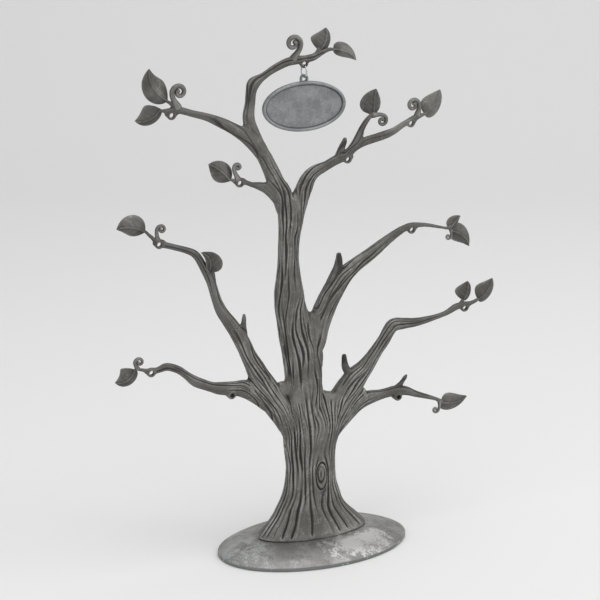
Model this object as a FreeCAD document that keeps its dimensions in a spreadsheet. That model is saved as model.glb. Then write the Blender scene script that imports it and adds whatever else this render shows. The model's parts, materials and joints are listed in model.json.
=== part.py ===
import FreeCAD, Part
import math
import os

# Photo tree stand: a cast metal tree on an oval foot, with holes along its branches from which
# little picture frames hang. The tree is nine limb castings soldered end to end round pins, on a
# bole that two screws hold to the base. One oval frame hangs from the crown on a wire ring.
#
# The tree stands in the XZ plane. X runs along the spread, Y from the viewer to the back, Z up.
# The origin is the middle of the felt's underside, on the surface that the stand rests on.

V = FreeCAD.Vector

doc = FreeCAD.newDocument("PhotoTreeStand")
sheet = doc.addObject("Spreadsheet::Sheet", "Sizes")

SIZES = [
    # The tree as a whole, in millimetres
    ("tree_height", 320, "from the table to the tip of the crown leaf"),
    ("spread", 250, "from the lowest left leaf to the right one"),
    ("bole_girth", 32, "width of the trunk at its waist"),
    ("bole_foot_share", -0.004, "middle of the bole's foot across, of the spread"),
    # Bark
    ("bark_groove_share", 0.10, "depth of a groove, of the half width there"),
    ("round_share", 0.95, "depth of a thin branch, of its width"),
    ("flattening_share", 0.35, "how much flatter a limb as wide as the bole is"),
    # Base
    ("base_length", 122.8, "oval base, along the spread"),
    ("base_breadth", 76.4, "oval base, front to back"),
    ("base_rim", 2.4, "top of the rim above the table"),
    ("seat_height", 10, "flat on the dome that carries the bole"),
    ("dome_sink", 8, "how far the dome's centre lies below the table"),
    ("dome_swell_share", 1.15, "dome's own radius, of the base's"),
    ("felt_thickness", 1.5, "felt sheet under the base"),
    ("felt_stand", 0.3, "felt below the metal"),
    ("felt_margin", 3.5, "metal rim outside the felt's recess"),
    ("felt_gap", 0.3, "felt to the edge of its recess"),
    # Foot screws
    ("screw_radius", 2, "screw shank"),
    ("screw_head_radius", 3.9, "countersunk head"),
    ("screw_head_height", 2, "countersunk head"),
    ("screw_length", 18, "from head to tip"),
    ("screw_spacing", 22, "between the two screws"),
    ("screw_gap", 0.1, "screw to its hole, all round"),
    ("screw_slot", 0.9, "width and depth of the driver slot"),
    # Pins of the soldered joints
    ("pin_share", 0.22, "radius of a joint's pin, of the limb's width there"),
    ("pin_reach_share", 2.2, "length of a pin, of its own radius"),
    ("pin_gap", 0.1, "pin to its socket"),
    ("pin_root", 1, "how deep a pin is rooted in its own limb"),
    # Hanging holes
    ("hole_width", 3, "hanging hole in every lug"),
    ("lug_wall", 1.25, "metal round a hanging hole"),
    ("lug_thickness", 3.4, "lug on a thin branch"),
    ("deep_lug_thickness", 7, "lug on the thick part of a low branch"),
    ("crown_lug_thickness", 2.4, "lug that the oval frame hangs from"),
    ("crown_hole_across_share", -0.024, "crown hole, of the spread"),
    ("crown_hole_up_share", 0.9394, "crown hole, of the tree's height"),
    # Leaves and curls
    ("leaf_length", 14, "plain leaf along its midrib"),
    ("leaf_width", 11.5, "plain leaf laid flat"),
    ("leaf_edge", 0.7, "thickness at a leaf's edge"),
    ("leaf_rib", 1.6, "thickness along a leaf's midrib"),
    ("curl_width", 10, "outside of a plain tendril's coil"),
    ("curl_heart_share", 0.3, "inside of a coil, of its outside"),
    ("curl_taper_share", 0.22, "how much thinner a tendril's tip is"),
    # Jump ring
    ("ring_radius", 3.6, "to the middle of the wire"),
    ("ring_wire", 1, "wire of the jump ring"),
    ("hang_gap", 0.05, "between hanging pieces at their touch"),
    # Oval picture frame
    ("oval_length", 52.5, "oval frame across"),
    ("oval_height", 29.5, "oval frame up"),
    ("oval_thickness", 3.2, "oval frame front to back"),
    ("oval_rim", 2.2, "raised rim round the picture's tray"),
    ("oval_tray", 1.2, "tray below the rim"),
    ("oval_lead", 0.41, "frame ahead of its loop, so that it hangs upright"),
    ("oval_soft", 0.5, "bevel of the rim's outer edges"),
    ("oval_bead", 0.9, "bevel of the rim towards the tray"),
    ("loop_hole", 2.8, "hole in the hanging loop"),
    ("loop_wall", 1.1, "metal round the loop's hole"),
    ("loop_thickness", 2, "hanging loop front to back"),
    ("loop_rise", 1.5, "loop's hole above the oval"),
    # Cutting bodies run past what they cut
    ("overrun", 1, "how far a cut runs past a face"),
]

for number, (alias, value, note) in enumerate(SIZES, start=1):
    sheet.set(f"A{number}", alias)
    sheet.set(f"B{number}", str(value))
    sheet.set(f"C{number}", note)
    sheet.setAlias(f"B{number}", alias)
doc.recompute()


def size(alias):
    """A driving dimension, read from the sheet."""
    return float(getattr(sheet, alias))


def bind(item, **links):
    """Ties an object's properties to the sheet; a double underscore stands for a dot."""
    for name, formula in links.items():
        item.setExpression(name.replace("__", "."), formula)
    return item


# Places on the tree are shares: across of the spread, up of the height, girth of the bole's.

def place(across_share, up_share):
    """A point of the tree's plane."""
    return V(size("spread") * across_share, 0, size("tree_height") * up_share)


def depth_of(width):
    """Thin branches are nearly round, and the thicker a limb is the flatter it was cast."""
    flatter = size("flattening_share") * width / size("bole_girth")
    return width * (size("round_share") - flatter)


def bark_section(centre, heading, width, depth, ridges, groove_share):
    """A limb's outline square to its heading: an oval with a ridge and a groove by turns."""
    across = V(-heading.z, 0, heading.x)
    back = V(0, 1, 0)
    points = []
    for step in range(2 * ridges):
        angle = math.pi * step / ridges
        swell = 1 - groove_share * (step % 2)
        point = centre + across * (width / 2 * swell * math.cos(angle))
        points.append(point + back * (depth / 2 * swell * math.sin(angle)))
    return points


def skin(sections):
    """A closed solid through outlines that have as many points each, in flat facets."""
    faces = []
    for outline in (sections[0], sections[-1]):
        faces.append(Part.Face(Part.makePolygon(outline + outline[:1])))
    for low, high in zip(sections, sections[1:]):
        for index in range(len(low)):
            after = (index + 1) % len(low)
            for first, second in ((low[after], high[after]), (high[after], high[index])):
                faces.append(Part.Face(Part.makePolygon([low[index], first, second, low[index]])))
    shell = Part.Shell(faces)
    shell.sewShape()
    solid = Part.Solid(Part.Shell(shell.Faces))
    if solid.Volume < 0:
        solid.reverse()
    return solid


def prism(start, axis, radius, length, sides):
    """A straight bar with flats, as thick over its corners as twice the radius."""
    across = V(0, 1, 0)
    if abs(axis.dot(across)) > math.cos(math.pi / sides):
        across = V(1, 0, 0)
    other = axis.cross(across)
    corners = []
    for step in range(sides):
        angle = math.tau * step / sides
        corners.append(start + across * (radius * math.cos(angle)) + other * (radius * math.sin(angle)))
    return Part.Face(Part.makePolygon(corners + corners[:1])).extrude(axis * length)


def limb_sections(rows, ridges, groove_share):
    """Outlines along a limb, each square to the way from its last place to its next."""
    centres = [place(across_share, up_share) for across_share, up_share, girth_share in rows]
    outlines = []
    for index, centre in enumerate(centres):
        ahead = centres[min(index + 1, len(centres) - 1)]
        behind = centres[max(index - 1, 0)]
        heading = (ahead - behind).normalize()
        width = size("bole_girth") * rows[index][2]
        outlines.append(bark_section(centre, heading, width, depth_of(width), ridges, groove_share))
    return outlines


def joint_heading(rows, joint):
    """The way a limb runs where it is soldered on."""
    return (place(*rows[joint + 1][:2]) - place(*rows[joint - 1][:2])).normalize()


PIN_SIDES = 8
LUG_SIDES = 12
SCREW_SIDES = 12


class Limb:
    """A limb's table of places, cut in two at its soldered joint."""

    def __init__(self, rows, joint, ridges):
        self.rows = rows
        self.joint = joint
        self.outlines = limb_sections(rows, ridges, size("bark_groove_share"))
        self.width = size("bole_girth") * rows[joint][2]
        self.centre = place(*rows[joint][:2])
        self.heading = joint_heading(rows, joint)

    def root(self):
        """What is cast with the parent, up to the joint's face."""
        return skin(self.outlines[:self.joint + 1])

    def run(self):
        """What is cast as the limb itself, from the joint's face out."""
        return skin(self.outlines[self.joint:])

    def pin(self, gap):
        """The pin that finds the joint, with flats for the solder; with a gap, its socket."""
        radius = size("pin_share") * self.width
        reach = size("pin_reach_share") * radius
        start = self.centre - self.heading * (reach + gap)
        return prism(start, self.heading, radius + gap, reach + gap + size("pin_root"), PIN_SIDES)


SMOOTH_SIDES = 3


def twig(rows):
    """A short dead stub or a leaf's stalk: smooth, with two facets to a side."""
    return skin(limb_sections(rows, SMOOTH_SIDES, 0))


def bore_cut(across_share, up_share):
    """The drill that goes through a lug from front to back."""
    long = size("bole_girth")
    start = place(across_share, up_share) - V(0, long / 2, 0)
    return Part.makeCylinder(size("hole_width") / 2, long, start, V(0, 1, 0))


def lug(across_share, up_share, thickness):
    """The knob of metal that a hanging hole goes through."""
    radius = size("hole_width") / 2 + size("lug_wall")
    start = place(across_share, up_share) - V(0, thickness / 2, 0)
    return prism(start, V(0, 1, 0), radius, thickness, LUG_SIDES)


# A leaf's width and the stand of its midrib along its length: a round heel and a drawn-out tip.
LEAF_SHARES = [
    (0, 0.14, 0.5), (0.07, 0.54, 1), (0.25, 0.95, 1), (0.45, 0.98, 1),
    (0.66, 0.70, 0.8), (0.86, 0.32, 0.5), (1, 0.07, 0.2),
]


def leaf(shares, turn, bend, fold, roll):
    """A leaf that grows from a place: its midrib bends in the tree's plane, its halves fold.

    The shares are across, up and the leaf's size. turn, the midrib's way at the heel, bend, fold
    and roll are degrees.
    """
    across_share, up_share, size_share = shares
    length = size("leaf_length") * size_share
    half = size("leaf_width") * size_share / 2
    point = place(across_share, up_share)
    sections = []
    gone_share = 0
    for along_share, wide_share, rib_share in LEAF_SHARES:
        way = math.radians(turn + bend * (gone_share + along_share) / 2)
        point = point + V(math.cos(way), 0, math.sin(way)) * (length * (along_share - gone_share))
        gone_share = along_share
        way = math.radians(turn + bend * along_share)
        side = V(-math.sin(way), 0, math.cos(way))
        front = V(0, -1, 0)
        thick = size("leaf_edge") + (size("leaf_rib") - size("leaf_edge")) * rib_share
        outline = []
        for hand, skin_side in ((1, 1), (0, 1), (-1, 1), (-1, -1), (0, -1), (1, -1)):
            tilt = math.radians(roll + hand * fold)
            arm = side * math.cos(tilt) + front * math.sin(tilt)
            stand = front * math.cos(tilt) - side * math.sin(tilt)
            half_thick = (thick if hand == 0 else size("leaf_edge")) / 2
            outline.append(point + arm * (hand * half * wide_share) + stand * (skin_side * half_thick))
        sections.append(outline)
    return skin(sections)


# A tendril's stem bends as a curve with four guide points: across in radii of its coil, and
# ahead in its own reach.
STEM_SHARES = [(0, 0), (0.3, 0.35), (1, 0.55), (1, 1)]
STEM_STEPS = 3
COIL_STEP = 36


def stem_point(along_share, guides):
    """A point of a cubic curve with four guide points."""
    rest = 1 - along_share
    weights = (rest ** 3, 3 * along_share * rest ** 2, 3 * along_share ** 2 * rest, along_share ** 3)
    across = sum(weight * guide[0] for weight, guide in zip(weights, guides))
    ahead = sum(weight * guide[1] for weight, guide in zip(weights, guides))
    return across, ahead


def curl(shares, turn, sweep, hand):
    """A tendril: a stem that rises from a place and winds into a coil that narrows.

    The shares are across, up, the coil's size, and the stem's reach and the wire of the coil's
    width. turn is the way to the coil's middle and sweep how far the coil winds, both in degrees.
    hand is 1 for anticlockwise.
    """
    across_share, up_share, size_share, reach_share, wire_share = shares
    width = size("curl_width") * size_share
    wire = width * wire_share
    reach = width * reach_share
    outer = (width - wire) / 2
    inner = outer * size("curl_heart_share")
    guides = [(outer * across, reach * ahead) for across, ahead in STEM_SHARES]
    local = [stem_point(step / STEM_STEPS, guides) for step in range(STEM_STEPS)]
    coil_steps = round(sweep / COIL_STEP)
    for step in range(coil_steps + 1):
        angle = math.radians(sweep) * step / coil_steps
        radius = outer + (inner - outer) * step / coil_steps
        local.append((radius * math.cos(angle), reach + radius * math.sin(angle)))
    way = math.radians(turn)
    ahead = V(math.cos(way), 0, math.sin(way))
    right = V(math.sin(way), 0, -math.cos(way))
    root = place(across_share, up_share)
    centres = [root + right * (across * hand) + ahead * up for across, up in local]
    sections = []
    for index, centre in enumerate(centres):
        after = centres[min(index + 1, len(centres) - 1)]
        before = centres[max(index - 1, 0)]
        heading = (after - before).normalize()
        thick = wire * (1 - size("curl_taper_share") * index / (len(centres) - 1))
        sections.append(bark_section(centre, heading, thick, thick, SMOOTH_SIDES, 0))
    return skin(sections)


# The bole: across, up, width and depth, the last two of the bole's girth.
BOLE_SHARES = [
    (size("bole_foot_share"), 0, 2.14, 1.05), (-0.004, 0.006, 2.10, 1.03), (-0.005, 0.014, 1.97, 0.94),
    (-0.008, 0.026, 1.76, 0.83), (-0.010, 0.040, 1.54, 0.74), (-0.010, 0.056, 1.35, 0.66),
    (-0.007, 0.076, 1.19, 0.61), (-0.006, 0.102, 1.06, 0.59), (-0.005, 0.135, 1.01, 0.58),
    (-0.004, 0.165, 1.05, 0.58), (0.000, 0.195, 1.20, 0.58), (0.004, 0.222, 1.42, 0.56),
    (-0.008, 0.250, 1.22, 0.44), (-0.035, 0.280, 0.98, 0.30),
]
BOLE_RIDGES = 16
ROOT_LOBES = 8
ROOT_LOBE_SHARE = 0.035

# Limbs: across, up and girth. The joint is the row at which the limb is soldered on.
LEFT_LIMB_SHARES = [
    (-0.032, 0.1875, 0.42), (-0.048, 0.231, 0.46), (-0.072, 0.269, 0.50), (-0.104, 0.306, 0.51),
    (-0.137, 0.350, 0.455), (-0.151, 0.375, 0.36), (-0.170, 0.406, 0.305), (-0.189, 0.4375, 0.30),
    (-0.214, 0.469, 0.26), (-0.235, 0.494, 0.225), (-0.248, 0.519, 0.19), (-0.261, 0.553, 0.18),
    (-0.280, 0.584, 0.165), (-0.297, 0.606, 0.15), (-0.317, 0.616, 0.13), (-0.352, 0.626, 0.12),
    (-0.387, 0.636, 0.125), (-0.404, 0.648, 0.08), (-0.422, 0.6625, 0.06),
]
LOWER_LEFT_SHARES = [
    (-0.048, 0.225, 0.40), (-0.076, 0.262, 0.42), (-0.112, 0.297, 0.41), (-0.148, 0.322, 0.375),
    (-0.178, 0.337, 0.345), (-0.204, 0.341, 0.285), (-0.240, 0.345, 0.245), (-0.262, 0.350, 0.20),
    (-0.282, 0.357, 0.20), (-0.304, 0.366, 0.20), (-0.322, 0.378, 0.165), (-0.342, 0.391, 0.155),
    (-0.362, 0.399, 0.153), (-0.378, 0.4015, 0.15), (-0.394, 0.398, 0.13), (-0.413, 0.397, 0.11),
    (-0.432, 0.4015, 0.07), (-0.453, 0.406, 0.055),
]
LEADER_SHARES = [
    (-0.016, 0.206, 0.60), (-0.022, 0.250, 0.74), (-0.027, 0.297, 0.80), (-0.029, 0.350, 0.81),
    (-0.034, 0.391, 0.77), (-0.041, 0.430, 0.74), (-0.051, 0.465, 0.67), (-0.060, 0.487, 0.61),
    (-0.063, 0.516, 0.575), (-0.064, 0.547, 0.475), (-0.064, 0.578, 0.415), (-0.062, 0.619, 0.42),
    (-0.058, 0.650, 0.49), (-0.057, 0.672, 0.52), (-0.056, 0.686, 0.42),
]
RIGHT_UPPER_SHARES = [
    (-0.020, 0.372, 0.38), (0.000, 0.406, 0.47), (0.016, 0.447, 0.455), (0.036, 0.483, 0.43),
    (0.056, 0.510, 0.42), (0.078, 0.531, 0.37), (0.110, 0.550, 0.285), (0.151, 0.569, 0.25),
    (0.189, 0.589, 0.205), (0.224, 0.605, 0.155), (0.243, 0.6115, 0.14), (0.263, 0.615, 0.122),
    (0.300, 0.613, 0.082), (0.336, 0.606, 0.066), (0.366, 0.600, 0.06),
]
RIGHT_LOWER_SHARES = [
    (0.016, 0.194, 0.40), (0.036, 0.231, 0.45), (0.060, 0.269, 0.51), (0.085, 0.300, 0.53),
    (0.109, 0.327, 0.49), (0.137, 0.349, 0.345), (0.164, 0.375, 0.27), (0.187, 0.398, 0.25),
    (0.200, 0.414, 0.262), (0.216, 0.4225, 0.268), (0.244, 0.423, 0.225), (0.280, 0.4225, 0.175),
    (0.320, 0.4255, 0.125), (0.360, 0.432, 0.112), (0.388, 0.442, 0.135), (0.412, 0.4445, 0.122),
    (0.432, 0.446, 0.09), (0.450, 0.4515, 0.07),
]
LOWER_RIGHT_SHARES = [
    (0.032, 0.206, 0.34), (0.060, 0.237, 0.375), (0.096, 0.264, 0.375), (0.128, 0.279, 0.33),
    (0.154, 0.2835, 0.275), (0.188, 0.2858, 0.20), (0.224, 0.289, 0.205), (0.252, 0.2856, 0.188),
    (0.280, 0.276, 0.14), (0.312, 0.267, 0.10), (0.338, 0.259, 0.082), (0.356, 0.252, 0.07),
]
UPPER_LEFT_SHARES = [
    (-0.060, 0.640, 0.34), (-0.068, 0.669, 0.375), (-0.081, 0.703, 0.39), (-0.096, 0.728, 0.33),
    (-0.112, 0.756, 0.295), (-0.132, 0.784, 0.28), (-0.158, 0.808, 0.285), (-0.184, 0.8235, 0.235),
    (-0.220, 0.8405, 0.205), (-0.260, 0.8555, 0.155), (-0.300, 0.866, 0.132), (-0.328, 0.8735, 0.138),
    (-0.350, 0.8745, 0.115), (-0.364, 0.875, 0.08), (-0.380, 0.8755, 0.06),
]
CROWN_SHARES = [
    (-0.130, 0.786, 0.24), (-0.150, 0.815, 0.26), (-0.1625, 0.847, 0.235), (-0.159, 0.875, 0.205),
    (-0.156, 0.897, 0.21), (-0.149, 0.911, 0.24), (-0.128, 0.9215, 0.155), (-0.100, 0.934, 0.147),
    (-0.068, 0.944, 0.16), (-0.044, 0.9465, 0.165), (-0.022, 0.9475, 0.14), (0.000, 0.950, 0.14),
    (0.020, 0.957, 0.11), (0.038, 0.9615, 0.075), (0.057, 0.961, 0.055),
]
LEFT_TWIG_SHARES = [
    (-0.078, 0.682, 0.24), (-0.096, 0.702, 0.255), (-0.117, 0.7155, 0.21), (-0.136, 0.7215, 0.158),
    (-0.156, 0.726, 0.105), (-0.174, 0.7315, 0.112), (-0.187, 0.7345, 0.105), (-0.200, 0.737, 0.075),
    (-0.211, 0.7395, 0.058),
]
UPPER_RIGHT_SHARES = [
    (-0.050, 0.650, 0.34), (-0.039, 0.678, 0.36), (-0.0245, 0.708, 0.33), (-0.011, 0.728, 0.285),
    (0.005, 0.739, 0.24), (0.032, 0.747, 0.19), (0.056, 0.7555, 0.185), (0.080, 0.7615, 0.168),
    (0.102, 0.775, 0.18), (0.117, 0.794, 0.16), (0.126, 0.811, 0.12), (0.138, 0.825, 0.105),
    (0.151, 0.8345, 0.08), (0.156, 0.838, 0.06),
]
SPRAY_SHARES = [
    (0.092, 0.766, 0.14), (0.110, 0.7775, 0.16), (0.124, 0.783, 0.165), (0.142, 0.7875, 0.17),
    (0.180, 0.7935, 0.165), (0.208, 0.800, 0.14), (0.232, 0.810, 0.125), (0.254, 0.8175, 0.125),
    (0.272, 0.8235, 0.12), (0.286, 0.826, 0.075), (0.296, 0.8275, 0.06),
]

# Dead stubs and leaf stalks, in the same shares.
LEFT_STUB_SHARES = [
    (-0.176, 0.4375, 0.12), (-0.1795, 0.459, 0.11),
    (-0.1785, 0.475, 0.095), (-0.1785, 0.485, 0.05),
]
RIGHT_UPPER_STUB_SHARES = [
    (0.050, 0.520, 0.24), (0.0645, 0.5485, 0.15),
    (0.0675, 0.5655, 0.11), (0.067, 0.578, 0.055),
]
RIGHT_LOWER_STUB_SHARES = [
    (0.100, 0.338, 0.17), (0.0875, 0.350, 0.14),
    (0.0838, 0.3625, 0.11), (0.0825, 0.3775, 0.05),
]
LOWER_RIGHT_STUB_SHARES = [
    (0.226, 0.292, 0.14), (0.239, 0.3025, 0.11),
    (0.250, 0.3135, 0.09), (0.2545, 0.3185, 0.045),
]
UPPER_RIGHT_STUB_SHARES = [
    (0.062, 0.757, 0.14), (0.072, 0.775, 0.115),
    (0.0795, 0.7875, 0.095), (0.081, 0.7945, 0.05),
]
LEFT_STALK_SHARES = [(-0.252, 0.539, 0.10), (-0.2535, 0.5625, 0.07), (-0.2555, 0.576, 0.05)]
BIG_LEAF_STALK_SHARES = [(-0.332, 0.874, 0.11), (-0.350, 0.886, 0.08), (-0.366, 0.896, 0.055)]
CROWN_STALK_SHARES = [(0.004, 0.952, 0.10), (0.010, 0.959, 0.08), (0.013, 0.966, 0.06)]
RIGHT_UPPER_STALK_SHARES = [(0.352, 0.602, 0.07), (0.364, 0.603, 0.06), (0.370, 0.606, 0.05)]
RIGHT_LOWER_STALK_SHARES = [(0.396, 0.442, 0.10), (0.403, 0.449, 0.085), (0.407, 0.455, 0.065)]
LOWER_RIGHT_STALK_SHARES = [(0.340, 0.2585, 0.08), (0.350, 0.251, 0.075), (0.356, 0.245, 0.06)]

# Leaves: across, up and size.
LEFT_TIP_LEAF_SHARES = (-0.420, 0.6612, 1.15)
LEFT_SMALL_LEAF_SHARES = (-0.2553, 0.574, 0.80)
LOWER_LEFT_LEAF_SHARES = (-0.4505, 0.4055, 0.95)
RIGHT_UPPER_FIRST_LEAF_SHARES = (0.368, 0.604, 0.62)
RIGHT_UPPER_SECOND_LEAF_SHARES = (0.362, 0.601, 1.10)
RIGHT_LOWER_FIRST_LEAF_SHARES = (0.4065, 0.453, 0.86)
RIGHT_LOWER_SECOND_LEAF_SHARES = (0.4475, 0.451, 1.12)
LOWER_RIGHT_LEAF_SHARES = (0.3535, 0.2535, 1.28)
UPPER_LEFT_BIG_LEAF_SHARES = (-0.362, 0.8935, 1.55)
UPPER_LEFT_LEAF_SHARES = (-0.3775, 0.8755, 0.98)
CROWN_FIRST_LEAF_SHARES = (0.0125, 0.9635, 0.845)
CROWN_SECOND_LEAF_SHARES = (0.0545, 0.961, 1.13)
LEFT_TWIG_LEAF_SHARES = (-0.209, 0.739, 1.14)
UPPER_RIGHT_LEAF_SHARES = (0.1545, 0.8365, 1.03)
SPRAY_LEAF_SHARES = (0.2935, 0.827, 1.12)

# Tendrils: across, up, size, reach and wire.
LEFT_CURL_SHARES = (-0.390, 0.640, 0.65, 1.0, 0.30)
LOWER_LEFT_CURL_SHARES = (-0.446, 0.404, 0.68, 0.62, 0.29)
RIGHT_UPPER_CURL_SHARES = (0.369, 0.599, 0.50, 0.85, 0.32)
LOWER_RIGHT_CURL_SHARES = (0.348, 0.2555, 0.54, 1.1, 0.34)
UPPER_LEFT_CURL_SHARES = (-0.334, 0.878, 0.95, 0.95, 0.26)
CROWN_CURL_SHARES = (-0.050, 0.950, 1.16, 0.80, 0.275)
LEFT_TWIG_CURL_SHARES = (-0.190, 0.737, 0.58, 1.25, 0.34)
UPPER_RIGHT_CURL_SHARES = (0.152, 0.8335, 0.75, 1.0, 0.26)
SPRAY_CURL_SHARES = (0.272, 0.8245, 0.94, 0.78, 0.25)

# Hanging holes that are free, as across and up: each is also a mount of the stand.
LEFT_HOLE_SHARES = (-0.387, 0.634)
LOWER_LEFT_HOLE_SHARES = (-0.413, 0.3945)
LOWER_LEFT_INNER_HOLE_SHARES = (-0.215, 0.3315)
UPPER_LEFT_HOLE_SHARES = (-0.351, 0.866)
LEFT_TWIG_HOLE_SHARES = (-0.1865, 0.7315)
UPPER_RIGHT_HOLE_SHARES = (0.0885, 0.756)
SPRAY_HOLE_SHARES = (0.254, 0.8125)
RIGHT_UPPER_HOLE_SHARES = (0.261, 0.6075)
RIGHT_LOWER_HOLE_SHARES = (0.412, 0.4385)
LOWER_RIGHT_HOLE_SHARES = (0.227, 0.2765)
CROWN_HOLE_SHARES = (size("crown_hole_across_share"), size("crown_hole_up_share"))


def bole():
    """The trunk's own column, from its lobed foot to where the limbs leave it."""
    girth = size("bole_girth")
    sections = []
    for across_share, up_share, width_share, depth_share in BOLE_SHARES:
        centre = place(across_share, up_share) + V(0, 0, size("seat_height"))
        outline = bark_section(
            centre, V(0, 0, 1), girth * width_share, girth * depth_share,
            BOLE_RIDGES, size("bark_groove_share"))
        spread_share = max(0, width_share - 1)
        lobed = []
        for index, point in enumerate(outline):
            wave = math.cos(math.pi * ROOT_LOBES * index / BOLE_RIDGES)
            swell = 1 + ROOT_LOBE_SHARE * spread_share * wave
            lobed.append(V(centre.x + (point.x - centre.x) * swell, point.y * swell, point.z))
        sections.append(lobed)
    return skin(sections)


def screw_places():
    """The two foot screws, either side of the bole's middle."""
    middle = size("spread") * size("bole_foot_share")
    return [middle - size("screw_spacing") / 2, middle + size("screw_spacing") / 2]


def join(pieces):
    """One solid from overlapping ones."""
    joined = pieces[0].multiFuse(pieces[1:])
    solids = joined.Solids
    if len(solids) != 1:
        raise RuntimeError(f"pieces do not meet: {len(solids)} solids")
    return solids[0]


def casting(label, pieces, cuts):
    """A named sub-part: pieces fused to one solid, then holes and sockets cut."""
    solid = join(pieces)
    for tool in cuts:
        solid = solid.cut(tool)
    if len(solid.Solids) != 1:
        raise RuntimeError(f"{label} came out as {len(solid.Solids)} solids")
    feature = doc.addObject("Part::Feature", label)
    feature.Label = label
    feature.Shape = solid.Solids[0]
    return feature


left = Limb(LEFT_LIMB_SHARES, 4, 5)
lower_left = Limb(LOWER_LEFT_SHARES, 4, 5)
leader = Limb(LEADER_SHARES, 3, 9)
right_upper = Limb(RIGHT_UPPER_SHARES, 3, 5)
right_lower = Limb(RIGHT_LOWER_SHARES, 4, 5)
lower_right = Limb(LOWER_RIGHT_SHARES, 4, 5)
upper_left = Limb(UPPER_LEFT_SHARES, 2, 5)
crown = Limb(CROWN_SHARES, 2, 4)
left_twig = Limb(LEFT_TWIG_SHARES, 3, 4)
upper_right = Limb(UPPER_RIGHT_SHARES, 2, 4)
spray = Limb(SPRAY_SHARES, 3, 4)

gap = size("pin_gap")
thin = size("lug_thickness")
deep = size("deep_lug_thickness")


def foot_screw_holes():
    """Holes up into the bole for the two screws."""
    holes = []
    tip = size("felt_stand") + size("felt_thickness") + size("screw_length")
    for across in screw_places():
        start = V(across, 0, 0)
        radius = size("screw_radius") + size("screw_gap")
        holes.append(prism(start, V(0, 0, 1), radius, tip + size("overrun"), SCREW_SIDES))
    return holes


trunk = casting(
    "trunk",
    [bole(), left.root(), lower_left.root(), leader.root(), right_lower.root(), lower_right.root()],
    [limb.pin(gap) for limb in (left, lower_left, leader, right_lower, lower_right)] + foot_screw_holes())

leader_limb = casting(
    "leader",
    [leader.run(), right_upper.root(), upper_left.root(), upper_right.root(), leader.pin(0)],
    [limb.pin(gap) for limb in (right_upper, upper_left, upper_right)])

left_limb = casting(
    "left_limb",
    [left.run(), left.pin(0), twig(LEFT_STUB_SHARES), twig(LEFT_STALK_SHARES),
     lug(*LEFT_HOLE_SHARES, thin),
     leaf(LEFT_TIP_LEAF_SHARES, 150, 45, 25, 15),
     leaf(LEFT_SMALL_LEAF_SHARES, 72, 75, 20, -10),
     curl(LEFT_CURL_SHARES, 68, 270, -1)],
    [bore_cut(*LEFT_HOLE_SHARES), trunk.Shape, lower_left.pin(gap)])

lower_left_branch = casting(
    "lower_left_branch",
    [lower_left.run(), lower_left.pin(0), lug(*LOWER_LEFT_HOLE_SHARES, thin),
     lug(*LOWER_LEFT_INNER_HOLE_SHARES, deep),
     leaf(LOWER_LEFT_LEAF_SHARES, 165, 60, 25, 0),
     curl(LOWER_LEFT_CURL_SHARES, 75, 280, -1)],
    [bore_cut(*LOWER_LEFT_HOLE_SHARES), bore_cut(*LOWER_LEFT_INNER_HOLE_SHARES)])

right_upper_limb = casting(
    "right_upper_limb",
    [right_upper.run(), right_upper.pin(0), twig(RIGHT_UPPER_STUB_SHARES), twig(RIGHT_UPPER_STALK_SHARES),
     lug(*RIGHT_UPPER_HOLE_SHARES, thin),
     leaf(RIGHT_UPPER_FIRST_LEAF_SHARES, 66, -38, 15, 10),
     leaf(RIGHT_UPPER_SECOND_LEAF_SHARES, 8, -75, 25, -10),
     curl(RIGHT_UPPER_CURL_SHARES, -110, 250, -1)],
    [bore_cut(*RIGHT_UPPER_HOLE_SHARES)])

right_lower_limb = casting(
    "right_lower_limb",
    [right_lower.run(), right_lower.pin(0), twig(RIGHT_LOWER_STUB_SHARES), twig(RIGHT_LOWER_STALK_SHARES),
     lug(*RIGHT_LOWER_HOLE_SHARES, thin),
     leaf(RIGHT_LOWER_FIRST_LEAF_SHARES, 100, -20, 25, 10),
     leaf(RIGHT_LOWER_SECOND_LEAF_SHARES, 30, 35, 20, -10)],
    [bore_cut(*RIGHT_LOWER_HOLE_SHARES), trunk.Shape])

lower_right_branch = casting(
    "lower_right_branch",
    [lower_right.run(), lower_right.pin(0), twig(LOWER_RIGHT_STUB_SHARES),
     lug(*LOWER_RIGHT_HOLE_SHARES, deep),
     leaf(LOWER_RIGHT_LEAF_SHARES, -22, 28, 20, 10),
     curl(LOWER_RIGHT_CURL_SHARES, -115, 230, -1)],
    [bore_cut(*LOWER_RIGHT_HOLE_SHARES)])

upper_left_branch = casting(
    "upper_left_branch",
    [upper_left.run(), upper_left.pin(0), crown.root(), left_twig.root(), twig(BIG_LEAF_STALK_SHARES),
     lug(*UPPER_LEFT_HOLE_SHARES, thin),
     leaf(UPPER_LEFT_BIG_LEAF_SHARES, 135, -40, 25, 10),
     leaf(UPPER_LEFT_LEAF_SHARES, 178, 40, 22, -10),
     curl(UPPER_LEFT_CURL_SHARES, 82, 320, -1)],
    [bore_cut(*UPPER_LEFT_HOLE_SHARES), crown.pin(gap), left_twig.pin(gap), leader_limb.Shape])

crown_branch = casting(
    "crown_branch",
    [crown.run(), crown.pin(0), twig(CROWN_STALK_SHARES),
     lug(*CROWN_HOLE_SHARES, size("crown_lug_thickness")),
     leaf(CROWN_FIRST_LEAF_SHARES, 95, -30, 22, 10),
     leaf(CROWN_SECOND_LEAF_SHARES, 8, -60, 28, -15),
     curl(CROWN_CURL_SHARES, 90, 325, 1)],
    [bore_cut(*CROWN_HOLE_SHARES)])

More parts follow.
